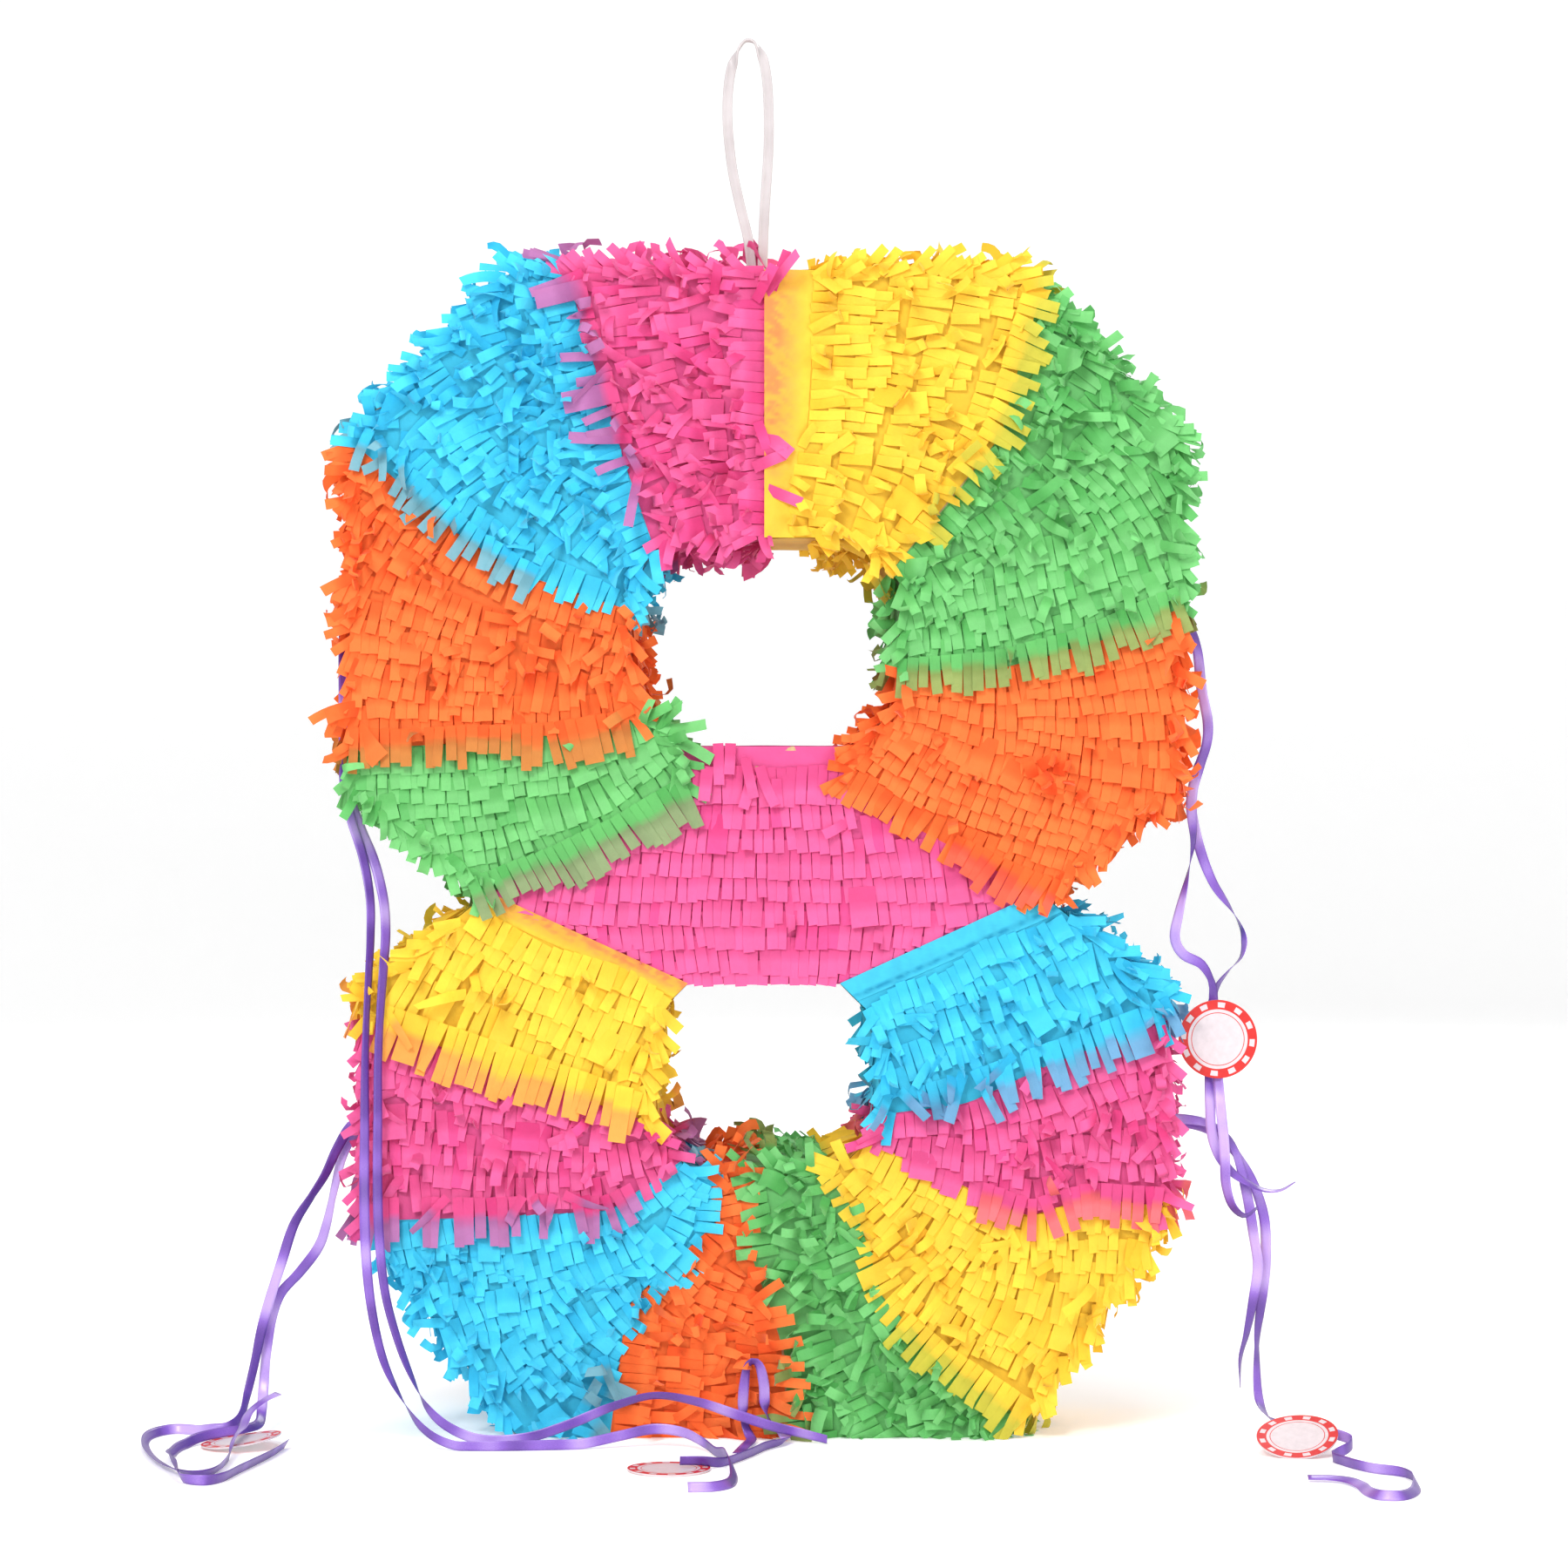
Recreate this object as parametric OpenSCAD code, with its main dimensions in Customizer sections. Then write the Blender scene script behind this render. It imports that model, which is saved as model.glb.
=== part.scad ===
// Number-shaped pinata: a collapsible card box with two octagonal holes, held open by four
// knee braces, covered in tissue fringe, with pull ribbons, tags and a plastic hanging loop.
// Origin: bottom centre. +Z is up, the front faces -Y. Units are millimetres.

/* [Body] */
// Height of the card body
body_h = 560; // [555:1:565]
// Width across the upper loop
upper_w = 396; // [392:1:400]
// Width across the lower loop
lower_w = 382; // [378:1:386]
// Width at the waist
waist_w = 264; // [260:1:268]
// Width of the flat top and of the flat bottom
flat_w = 240; // [236:1:244]
// Depth of the body when it is expanded
depth = 100; // [96:1:104]
// Thickness of the corrugated front and back panels
panel_t = 3; // [2:0.5:4]
// Thickness of the scored card of the outer walls and hole rims
wall_t = 2; // [1.5:0.5:2.5]

/* [Holes] */
// Width of the upper hole
hole_up_w = 130; // [124:1:134]
// Height of the upper hole
hole_up_h = 100; // [96:1:104]
// Width of the lower hole
hole_low_w = 114; // [110:1:118]
// Height of the lower hole
hole_low_h = 88; // [84:1:92]
// Corner cut of both holes
hole_cut = 20; // [16:1:24]

/* [Tissue] */
// Thickness of the fringed tissue on the front and the back
face_tissue_t = 4; // [3:0.5:5]
// Thickness of the fringed tissue on the outer walls and hole rims
side_tissue_t = 3; // [2:0.5:4]

/* [Braces] */
// Distance of each knee brace from the middle
brace_x = 140; // [138:1:142]
// Height of each brace leaf
brace_h = 90; // [84:1:94]
// Thickness of the front leaf
brace_t = 1.5; // [1.2:0.1:1.8]

/* [Filling hatch] */
// Width of the hatch in the back panel
hatch_w = 80; // [70:1:90]
// Height of the hatch
hatch_h = 84; // [76:1:86]
// Height of the hatch's hinge crease above the floor
hatch_z = 532; // [530:1:534]

/* [Hanging loop] */
// Width of the plastic strap
strap_w = 4.8; // [4.4:0.1:5]
// Thickness of the plastic strap
strap_t = 1.2; // [1:0.1:1.4]
// Where the strap goes through the top wall, front to back
strap_y = -36; // [-37:0.5:-35]

/* [Ribbons and tags] */
// Diameter of the plain tube that stands for each ribbon
ribbon_d = 3.6; // [3:0.1:4]
// Diameter of each round tag
tag_d = 38; // [36:1:40]
// Thickness of each round tag
tag_t = 1; // [0.8:0.1:1.2]
// Height of the upper ribbon slots
slot_up_z = 393; // [390:1:396]
// Height of the lower ribbon slots
slot_low_z = 149; // [147:1:151]
// Where the ribbons leave the side walls, front to back
slot_y = -26; // [-27:0.5:-25]

/* [Hidden] */

CARD = [0.80, 0.70, 0.55];
PINK = [0.92, 0.33, 0.62];
YELLOW = [1.00, 0.83, 0.18];
GREEN = [0.38, 0.80, 0.47];
ORANGE = [1.00, 0.48, 0.20];
BLUE = [0.20, 0.77, 0.93];
PURPLE = [0.60, 0.44, 0.84];
PLASTIC = [0.93, 0.93, 0.91];
TAG_RED = [0.90, 0.20, 0.13];

// Card body outline in the XZ plane, counter-clockwise: the right half, then its mirror image.
half_depth = depth / 2;
inner_y = half_depth - panel_t;
low_corner_z = 104;
low_side_top_z = 215;
waist_z = 261;
high_side_low_z = 311;
high_side_top_z = 481;
half_outline = [
    [flat_w / 2 - 2, 0], [lower_w / 2, low_corner_z], [lower_w / 2, low_side_top_z],
    [waist_w / 2, waist_z], [upper_w / 2, high_side_low_z], [upper_w / 2, high_side_top_z],
    [flat_w / 2, body_h]
];
outline = concat(half_outline, [for (i = [6:-1:0]) [-half_outline[i][0], half_outline[i][1]]]);
wall_count = len(outline);

hole_up_z = 381.6;
hole_low_z = 173.5;
hole_up = octagon(hole_up_w / 2, hole_up_h / 2, hole_cut, hole_up_z);
hole_low = octagon(hole_low_w / 2, hole_low_h / 2, hole_cut, hole_low_z);

function octagon(w, h, c, z) = [
    [w, z - h + c], [w, z + h - c], [w - c, z + h], [c - w, z + h],
    [-w, z + h - c], [-w, z - h + c], [c - w, z - h], [w - c, z - h]
];

// The same closed outline moved inwards by t, with mitred corners.
function edge_normal(p, i) =
    let (n = len(p), a = p[i], b = p[(i + 1) % n], l = norm(b - a))
    [-(b[1] - a[1]) / l, (b[0] - a[0]) / l];
function inset(p, t) = [
    for (i = [0:len(p) - 1])
        let (m = edge_normal(p, (i + len(p) - 1) % len(p)), k = edge_normal(p, i))
        p[i] + t * (m + k) / (1 + m * k)
];

// Each colour block of fringe as a polygon that reaches past the body's edge: [colour, points].
// The upper blocks fan out from the middle of the upper hole, the lower ones from the lower.
UP = [0, hole_up_z];
LOW = [0, hole_low_z];
far_x = 240;
high_z = 600;
under_z = -20;
BLOCKS = [
    ["pink", [UP, [1, high_z], [-105, high_z], [-95, 560], [-74, 489], [-52, 425]]],
    ["yellow", [UP, [62, 416], [114, 481], [131, 548], [140, high_z], [1, high_z]]],
    ["green", [UP, [64, 368], [110, 368], [156, 380], [202, 397], [far_x, 397],
        [far_x, high_z], [140, high_z], [131, 548], [114, 481], [62, 416]]],
    ["orange", [UP, [45, 331], [36, 313], [132, waist_z], [far_x, waist_z], [far_x, 397],
        [202, 397], [156, 380], [110, 368], [64, 368]]],
    ["blue", [UP, [-52, 425], [-74, 489], [-95, 560], [-105, high_z], [-far_x, high_z],
        [-far_x, 490], [-183, 472], [-141, 429], [-116, 414], [-60, 397]]],
    ["orange", [UP, [-60, 397], [-116, 414], [-141, 429], [-183, 472], [-far_x, 490],
        [-far_x, 330], [-199, 330], [-132, 334], [-62, 345]]],
    ["green", [UP, [-62, 345], [-132, 334], [-199, 330], [-far_x, 330], [-far_x, waist_z],
        [-132, waist_z], [-36, 312], [-43, 331]]],
    ["pink", [UP, [-43, 331], [-36, 312], [-132, waist_z], [-42, 217], LOW, [42, 217],
        [132, waist_z], [36, 313], [45, 331]]],
    ["blue", [LOW, [56, 155], [135, 176], [193, 197], [far_x, 197], [far_x, waist_z],
        [132, waist_z], [42, 217]]],
    ["pink", [LOW, [50, 138], [72, 134], [127, 104], [152, 117], [198, 111], [far_x, 111],
        [far_x, 197], [193, 197], [135, 176], [56, 155]]],
    ["yellow", [LOW, [28, 129], [28, 104], [47, 104], [56, 67], [85, 38], [120, 21],
        [135, under_z], [far_x, under_z], [far_x, 111], [198, 111], [152, 117], [127, 104],
        [72, 134], [50, 138]]],
    ["green", [LOW, [-9, 129], [-5, 84], [10, 46], [12, under_z], [135, under_z], [120, 21],
        [85, 38], [56, 67], [47, 104], [28, 104], [28, 129]]],
    ["orange", [LOW, [-32, 129], [-20, 104], [-66, 63], [-74, under_z], [12, under_z],
        [10, 46], [-5, 84], [-9, 129]]],
    ["blue", [LOW, [-40, 133], [-74, 109], [-174, 104], [-far_x, 104], [-far_x, under_z],
        [-74, under_z], [-66, 63], [-20, 104], [-32, 129]]],
    ["pink", [LOW, [-57, 152], [-82, 148], [-162, 188], [-far_x, 190], [-far_x, 104],
        [-174, 104], [-74, 109], [-40, 133]]],
    ["yellow", [LOW, [-42, 217], [-132, waist_z], [-far_x, waist_z], [-far_x, 190],
        [-162, 188], [-82, 148], [-57, 152]]]
];

// Braces: hinge axes just inside the panels, a knee half way between them.
leaf_clear = 0.15;
brace_end_r = brace_t / 2;
hinge_y = inner_y - brace_end_r - leaf_clear;
rear_leaf_t = 1.2;
knee_gap = 3.2;
stop_t = 1;
stop_l = 8;
brace_high_z = 350;
brace_low_z = 108;

// Hatch
hatch_clear = 0.5;
hatch_tissue_drop = 3.5;
hatch_tissue_side = 1;
hatch_tissue_above = 8;

// Slots for the ribbons and the strap
slot_l = 10;
slot_hh = 6;
tissue_slot_l = 14;
tissue_slot_h = 12;
floor_clear = 1;

// The strap's route in the XZ plane, from one side of its slot over the top to the other.
strap_route = [
    [-5.9, 561], [-7.8, 577], [-11.4, 592], [-14.9, 608], [-16.9, 623], [-17.8, 638],
    [-16.9, 653], [-14.2, 664.5], [-10.5, 671.3], [-7.8, 672.8], [-4.3, 671.3],
    [-0.6, 664.0], [1.4, 653], [2.2, 638], [2.2, 623], [1.4, 608], [0.3, 592],
    [-0.4, 577], [-0.8, 561]
];
// How far the strap has turned edge-on at each of those points, in degrees.
strap_turn = [0, 0, 0, 0, 0, 0, 15, 45, 80, 90, 80, 45, 15, 0, 0, 0, 0, 0, 0];

// Ribbon routes. Letters: a high right, b low right, c low left, d high left.
ribbon_a1_route = [
    [198.5, -28, 394], [206, -28, 391], [210, -29, 378], [212, -29, 360], [215, -29, 344],
    [214.5, -29, 333], [211, -29, 322], [207, -29, 306], [208, -29, 286], [205, -29, 268],
    [201, -30, 251], [199, -30, 239], [203, -30, 231], [212, -30, 226], [217, -30, 217],
    [218, -28, 206], [219, -28, 190], [220, -30, 170], [221, -34, 155], [222, -37, 142],
    [222.5, -38, 131], [223, -38, 120], [226, -38, 110], [232, -38, 105], [238, -38, 109]
];
ribbon_a2_route = [
    [198.5, -23, 393], [206, -23, 388], [210, -23, 375], [213, -23, 358], [216, -23, 344],
    [214, -23, 331], [210, -23, 319], [208, -23, 304], [211, -23, 285], [218, -23, 266],
    [228, -24, 251], [233, -24, 240], [232, -24, 230], [226, -24, 223], [220, -24, 215],
    [217, -23, 204], [216, -23, 190], [216, -26, 174], [216, -31, 158], [216.5, -33, 145],
    [220, -33, 134], [226, -33, 126], [233, -33, 121], [242, -33, 117], [250, -33, 117],
    [257, -33, 121]
];
ribbon_b1_route = [
    [191.5, -28, 151], [203, -28, 151], [215, -28, 149], [224, -28, 143], [229, -28, 134],
    [232, -28, 124], [235, -28, 110], [237.5, -28, 94], [239.5, -28, 80], [237.5, -28, 65],
    [234, -28, 47], [231, -28, 35], [231, -27, 21]
];
ribbon_b2_route = [
    [191.5, -23, 149], [203, -23, 149], [215, -23, 146], [225, -22, 139], [234, -22, 127],
    [240, -22, 114], [243.5, -22, 100], [244, -22, 82], [242.5, -22, 66], [240, -22, 47],
    [239.5, -23, 33], [239.5, -27, 20], [240, -37, 13], [242, -52, 9.5], [245, -68, 9],
    [249, -82, 9.2], [256, -89, 9.4], [265, -92, 8.8], [272, -96, 7.6], [275, -103, 6.4],
    [272, -111, 4.8], [266, -117, 3], [263, -124, 2], [266, -134, 2], [271, -146, 2],
    [278, -157, 2], [288, -165, 2], [292, -178, 2], [291, -196, 2], [287, -214, 2],
    [280, -226, 2], [271, -226, 2], [267, -214, 2], [266, -198, 2], [262, -184, 2],
    [254, -178, 2], [245, -177, 2]
];
ribbon_c1_route = [
    [-191.5, -28, 151], [-200, -28, 148], [-207, -28, 137], [-213, -28, 124],
    [-220, -28, 113], [-228, -28, 100], [-234, -28, 82], [-240, -28, 63], [-244, -28, 48],
    [-247, -29, 33], [-250, -33, 19], [-252, -41, 9], [-257, -50, 5], [-266, -50, 4],
    [-276, -42, 2], [-285, -40, 2], [-292, -50, 2], [-294, -66, 2], [-290, -92, 2],
    [-283, -118, 2], [-274, -142, 2], [-265, -160, 2], [-256, -169, 2], [-249, -162, 2],
    [-247, -142, 2], [-247, -120, 2.6], [-248, -103, 5.8], [-248, -90, 7], [-247, -74, 8.4],
    [-246, -60, 13],
    [-241, -49, 17], [-234, -42, 20]
];
ribbon_c2_route = [
    [-191.5, -23, 149], [-199, -23, 144], [-205, -23, 133], [-209, -23, 117],
    [-213, -23, 99], [-217, -23, 88], [-226, -23, 76], [-235, -23, 66], [-239.5, -23, 54],
    [-242, -23, 38], [-243, -26, 22], [-243, -34, 11], [-243, -46, 6], [-249, -56, 5],
    [-258, -63, 4.5], [-268, -74, 3.6], [-274, -92, 2], [-275, -112, 2.6], [-273, -132, 5],
    [-269, -150, 6.4], [-265, -168, 4.6], [-259, -184, 2], [-249, -189, 2], [-242, -180, 2],
    [-238, -160, 2], [-233, -136, 2], [-228, -110, 2], [-225, -84, 2.4]
];
ribbon_d1_route = [
    [-198.5, -28, 394], [-203.8, -28, 390], [-204.4, -28, 378], [-204, -28, 355],
    [-203.8, -28, 330], [-203.4, -28.5, 312], [-200, -30, 296], [-194, -34, 278], [-190, -40, 258],
    [-189, -48, 240], [-189, -57, 222], [-189.5, -61.5, 204], [-190, -64, 180], [-190, -66, 150],
    [-190, -68, 120], [-189, -71, 92], [-186, -75, 66], [-180, -80, 42], [-171, -84, 24],
    [-160, -89, 10], [-146, -92, 3], [-128, -93, 2], [-108, -91, 2],
    [-88, -88, 2.5], [-68, -84, 6], [-52, -82, 9], [-38, -86, 8], [-28, -98, 5],
    [-22, -118, 4], [-17, -138, 6.6], [-14, -158, 4], [-13, -178, 2], [-15, -194, 2],
    [-22, -203, 2], [-33, -205, 2]
];
ribbon_d2_route = [
    [-198.5, -23, 392], [-203.6, -23, 388], [-204, -23, 372], [-203.8, -23, 350],
    [-203.6, -23, 328], [-202, -23.5, 309], [-196, -26, 292], [-189, -30, 276], [-184, -36, 258],
    [-182, -45, 242], [-182, -56, 226], [-183, -60.5, 206], [-184, -62, 182], [-184, -63.5, 154],
    [-184, -65, 124], [-183, -67, 98], [-180, -69, 72], [-174, -71, 50], [-167, -72, 32],
    [-159, -73, 17], [-148, -75, 8], [-133, -76, 3], [-112, -76, 4], [-92, -74, 10],
    [-72, -72, 18], [-52, -70, 23], [-32, -69, 20], [-14, -68, 14], [4, -67, 8],
    [18, -69, 5], [30, -73, 2.6]
];
ribbon_d3_route = [
    [-38, -146, 4.4], [-28, -145, 4.2], [-21, -141, 2.8], [-15, -133, 2], [-6, -112, 2],
    [1, -92, 2], [8, -79, 2], [11, -69, 2], [9, -62, 3.5], [3, -60, 9],
    [0.5, -60, 17], [0, -60, 27], [-2, -60, 35.5], [-5, -60, 38], [-8, -60, 35.5],
    [-9.5, -60, 26], [-10, -60, 16], [-9, -61, 8], [-7, -64, 3.5], [-6, -70, 2],
    [-9, -90, 2], [-12, -110, 2]
];

// A tube swept along a route: one ring of 8 points at each route point, square to the path.
ring_sides = 8;
function unit(v) = v / norm(v);
function tangent(p, i) = unit(p[min(i + 1, len(p) - 1)] - p[max(i - 1, 0)]);
function side_of(t) = unit(cross(t, abs(t[1]) < 0.9 ? [0, 1, 0] : [1, 0, 0]));
function ring(p, i, r) =
    let (t = tangent(p, i), u = side_of(t), v = cross(t, u))
    [for (k = [0:ring_sides - 1])
        p[i] + r * (cos(360 * k / ring_sides) * u + sin(360 * k / ring_sides) * v)];
function quads(n, m) = [
    for (i = [0:n - 2], k = [0:m - 1])
        [i * m + k, i * m + (k + 1) % m, (i + 1) * m + (k + 1) % m, (i + 1) * m + k]
];
module sweep(rings) {
    n = len(rings);
    m = len(rings[0]);
    points = [for (r = rings) for (p = r) p];
    caps = [[for (k = [m - 1:-1:0]) k], [for (k = [0:m - 1]) (n - 1) * m + k]];
    polyhedron(points = points, faces = concat(quads(n, m), caps));
}
module tube(route) {
    color(PURPLE) sweep([for (i = [0:len(route) - 1]) ring(route, i, ribbon_d / 2)]);
}

// Lifts a 2D shape drawn in XZ to a slab from y0 to y1.
module slab(y0, y1) {
    translate([0, y1, 0]) rotate([90, 0, 0]) linear_extrude(y1 - y0) children();
}

// Card
module panel_2d() {
    difference() {
        polygon(outline);
        polygon(hole_up);
        polygon(hole_low);
    }
}
module hatch_hole_2d(grow) {
    translate([-hatch_w / 2 - grow, hatch_z - hatch_h - grow])
        square([hatch_w + 2 * grow, hatch_h + grow + hatch_clear / 2]);
}
module front_panel() {
    color(CARD) slab(-half_depth, -inner_y) panel_2d();
}
module back_panel() {
    color(CARD) slab(inner_y, half_depth) difference() {
        panel_2d();
        hatch_hole_2d(hatch_clear);
    }
}
module hatch_flap() {
    color(CARD) slab(inner_y, half_depth)
        translate([-hatch_w / 2, hatch_z - hatch_h])
            square([hatch_w, hatch_h - hatch_clear / 2]);
}

// One outer wall: a mitred strip between the panels with a score groove half way.
groove_w = 2;
groove_d = 0.8;
module wall(i) {
    inner = inset(outline, wall_t);
    groove = inset(outline, wall_t - groove_d);
    j = (i + 1) % wall_count;
    color(CARD) difference() {
        slab(-inner_y, inner_y) polygon([outline[i], outline[j], inner[j], inner[i]]);
        slab(-groove_w / 2, groove_w / 2)
            polygon([groove[i], groove[j], 2 * inner[j] - groove[j], 2 * inner[i] - groove[i]]);
        slots();
    }
}
// The ribbon slots in the side walls, and the strap slot in the top wall.
module slots() {
    for (s = [-1, 1], z = [slot_up_z, slot_low_z])
        translate([s * 195 - 8, slot_y + 0.5 - slot_l / 2, z - slot_hh / 2])
            cube([16, slot_l, slot_hh]);
    translate([-8.6, strap_y - 1, body_h - 5]) cube([10.5, 2, 10]);
}
// A hole's rim: eight flat strips between creases.
crease = 0.2;
module rim(hole) {
    outer = inset(hole, -wall_t);
    color(CARD) slab(-inner_y, inner_y)
        for (i = [0:7])
            let (j = (i + 1) % 8, e = crease / 2 * unit(hole[j] - hole[i]))
                polygon([hole[i] + e, outer[i] + e, outer[j] - e, hole[j] - e]);
}

// Braces. side is 1 on the right and -1 on the left; the knee folds towards the holes.
module leaf_plan(y0, y1, t) {
    translate([-t / 2, y0]) square([t, y1 - y0]);
}
module front_leaf(side, z) {
    color(CARD) translate([side * brace_x, 0, z]) {
        linear_extrude(brace_h) leaf_plan(-hinge_y, 0, brace_t);
        translate([0, -hinge_y, 0]) cylinder(h = brace_h, r = brace_end_r, $fn = 24);
        cylinder(h = brace_h, r = brace_end_r, $fn = 24);
        translate([-side * (brace_end_r + stop_t / 2) - stop_t / 2, -stop_l, 0])
            cube([stop_t, 2 * stop_l, brace_h]);
    }
}
module rear_leaf(side, z) {
    color(CARD) translate([side * brace_x, 0, z]) {
        linear_extrude(brace_h) leaf_plan(knee_gap, hinge_y, rear_leaf_t);
        translate([0, hinge_y, 0]) cylinder(h = brace_h, r = rear_leaf_t / 2, $fn = 24);
    }
}

// Tissue
module blocks_2d(name) {
    for (b = BLOCKS)
        if (b[0] == name) polygon(b[1]);
}
module above_floor_2d() {
    translate([-300, floor_clear]) square([600, 700]);
}
module face_tissue_2d(name) {
    intersection() {
        blocks_2d(name);
        panel_2d();
        above_floor_2d();
    }
}
module front_tissue(name, tint) {
    color(tint) slab(-half_depth - face_tissue_t, -half_depth) face_tissue_2d(name);
}
module back_tissue(name, tint) {
    color(tint) slab(half_depth, half_depth + face_tissue_t) difference() {
        face_tissue_2d(name);
        hatch_hole_2d(hatch_clear);
        translate([-hatch_w / 2 - hatch_clear, hatch_z])
            square([hatch_w + 2 * hatch_clear, hatch_tissue_above]);
    }
}
module side_ring_2d() {
    difference() {
        polygon(inset(outline, -side_tissue_t));
        polygon(outline);
    }
    difference() {
        polygon(hole_up);
        polygon(inset(hole_up, side_tissue_t));
    }
    difference() {
        polygon(hole_low);
        polygon(inset(hole_low, side_tissue_t));
    }
}
module side_tissue(name, tint) {
    color(tint) difference() {
        slab(-inner_y, inner_y) intersection() {
            side_ring_2d();
            blocks_2d(name);
            above_floor_2d();
        }
        for (s = [-1, 1], z = [slot_up_z, slot_low_z])
            translate([s * 196 - 9, slot_y + 0.5 - tissue_slot_l / 2, z - tissue_slot_h / 2])
                cube([18, tissue_slot_l, tissue_slot_h]);
        translate([-13, strap_y - 7, body_h - 1]) cube([18, 14, 10]);
    }
}
module hatch_tissue() {
    color(YELLOW) slab(half_depth, half_depth + face_tissue_t)
        translate([-hatch_w / 2 + hatch_tissue_side, hatch_z - hatch_h + hatch_tissue_side])
            square([hatch_w - 2 * hatch_tissue_side,
                hatch_h - hatch_tissue_side - hatch_tissue_drop]);
}

// Hanging loop
function strap_ring(i) =
    let (q = strap_route, n = len(q), a = q[max(i - 1, 0)], b = q[min(i + 1, n - 1)],
        t = unit([b[0] - a[0], 0, b[1] - a[1]]), across = cross(t, [0, 1, 0]),
        w = cos(strap_turn[i]) * across + sin(strap_turn[i]) * [0, 1, 0],
        h = cross(t, w), c = [q[i][0], strap_y, q[i][1]])
    [c + w * strap_w / 2 + h * strap_t / 2, c - w * strap_w / 2 + h * strap_t / 2,
        c - w * strap_w / 2 - h * strap_t / 2, c + w * strap_w / 2 - h * strap_t / 2];
module hanging_strap() {
    color(PLASTIC) sweep([for (i = [0:len(strap_route) - 1]) strap_ring(i)]);
}
lock_z = 540;
plate_t = 2;
plate_z = body_h - wall_t - plate_t;
module strap_lock_head() {
    color(PLASTIC) {
        translate([-9.4, strap_y - 4, lock_z]) cube([12, 8, 8]);
        for (x = [strap_route[0][0], strap_route[len(strap_route) - 1][0]])
            translate([x - strap_w / 2, strap_y - strap_t / 2, lock_z + 4])
                cube([strap_w, strap_t, body_h - lock_z - 4]);
    }
}
module strap_anchor_plate() {
    color(CARD) difference() {
        translate([-33, -inner_y + 0.5, plate_z]) cube([60, 22, plate_t]);
        translate([-9, strap_y - 1.2, plate_z - 1]) cube([11, 2.4, plate_t + 2]);
    }
}

// Ribbons inside the body, from each slot to the front leaf of its brace.
run_w = 5;
run_t = 0.4;
run_gap = 0.6;
module ribbon_inner_runs() {
    x0 = brace_x + brace_end_r + run_gap;
    color(PURPLE)
        for (s = [-1, 1], k = [[slot_up_z, upper_w / 2], [slot_low_z, lower_w / 2]])
            translate([s > 0 ? x0 : wall_t - k[1], slot_y - run_w / 2, k[0] - run_t / 2])
                cube([k[1] - wall_t - x0, run_w, run_t]);
}
module standing_tag(x, y, z) {
    color(TAG_RED) translate([x, y, z]) rotate([90, 0, 0])
        cylinder(h = tag_t, d = tag_d, center = true, $fn = 64);
}
// A tag on the floor: back_up raises its far side and right_up its right side, in degrees.
module lying_tag(x, y, z, back_up, right_up) {
    color(TAG_RED) translate([x, y, z]) rotate([back_up, -right_up, 0])
        cylinder(h = tag_t, d = tag_d, center = true, $fn = 64);
}

front_panel();
back_panel();
wall(0);  // wall_low_corner_right
wall(1);  // wall_low_side_right
wall(2);  // wall_waist_low_right
wall(3);  // wall_waist_high_right
wall(4);  // wall_high_side_right
wall(5);  // wall_high_corner_right
wall(6);  // wall_top
wall(7);  // wall_high_corner_left
wall(8);  // wall_high_side_left
wall(9);  // wall_waist_high_left
wall(10);  // wall_waist_low_left
wall(11);  // wall_low_side_left
wall(12);  // wall_low_corner_left
wall(13);  // wall_bottom
rim(hole_up);  // rim_upper_hole
rim(hole_low);  // rim_lower_hole
front_leaf(1, brace_high_z);  // front_leaf_high_right
front_leaf(-1, brace_high_z);  // front_leaf_high_left
front_leaf(1, brace_low_z);  // front_leaf_low_right
front_leaf(-1, brace_low_z);  // front_leaf_low_left
rear_leaf(1, brace_high_z);  // rear_leaf_high_right
rear_leaf(-1, brace_high_z);  // rear_leaf_high_left
rear_leaf(1, brace_low_z);  // rear_leaf_low_right
rear_leaf(-1, brace_low_z);  // rear_leaf_low_left
hatch_flap();
hatch_tissue();
hanging_strap();
strap_lock_head();
strap_anchor_plate();
front_tissue("pink", PINK);  // front_tissue_pink
front_tissue("yellow", YELLOW);  // front_tissue_yellow
front_tissue("green", GREEN);  // front_tissue_green
front_tissue("orange", ORANGE);  // front_tissue_orange
front_tissue("blue", BLUE);  // front_tissue_blue
back_tissue("pink", PINK);  // back_tissue_pink
back_tissue("yellow", YELLOW);  // back_tissue_yellow
back_tissue("green", GREEN);  // back_tissue_green
back_tissue("orange", ORANGE);  // back_tissue_orange
back_tissue("blue", BLUE);  // back_tissue_blue
side_tissue("pink", PINK);  // side_tissue_pink
side_tissue("yellow", YELLOW);  // side_tissue_yellow
side_tissue("green", GREEN);  // side_tissue_green
side_tissue("orange", ORANGE);  // side_tissue_orange
side_tissue("blue", BLUE);  // side_tissue_blue
ribbon_inner_runs();
tube(ribbon_a1_route);  // ribbon_a1
tube(ribbon_a2_route);  // ribbon_a2
tube(ribbon_b1_route);  // ribbon_b1
tube(ribbon_b2_route);  // ribbon_b2
tube(ribbon_c1_route);  // ribbon_c1
tube(ribbon_c2_route);  // ribbon_c2
tube(ribbon_d1_route);  // ribbon_d1
tube(ribbon_d2_route);  // ribbon_d2
tube(ribbon_d3_route);  // ribbon_d3
standing_tag(219.6, -32, 190);  // tag_a
lying_tag(250, -98, 8.1, 22, 6);  // tag_b
lying_tag(-247, -79.5, 3.5, 0, 8);  // tag_c
lying_tag(-43, -146, 0.7, 0, 0);  // tag_d
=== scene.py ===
import math

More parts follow.
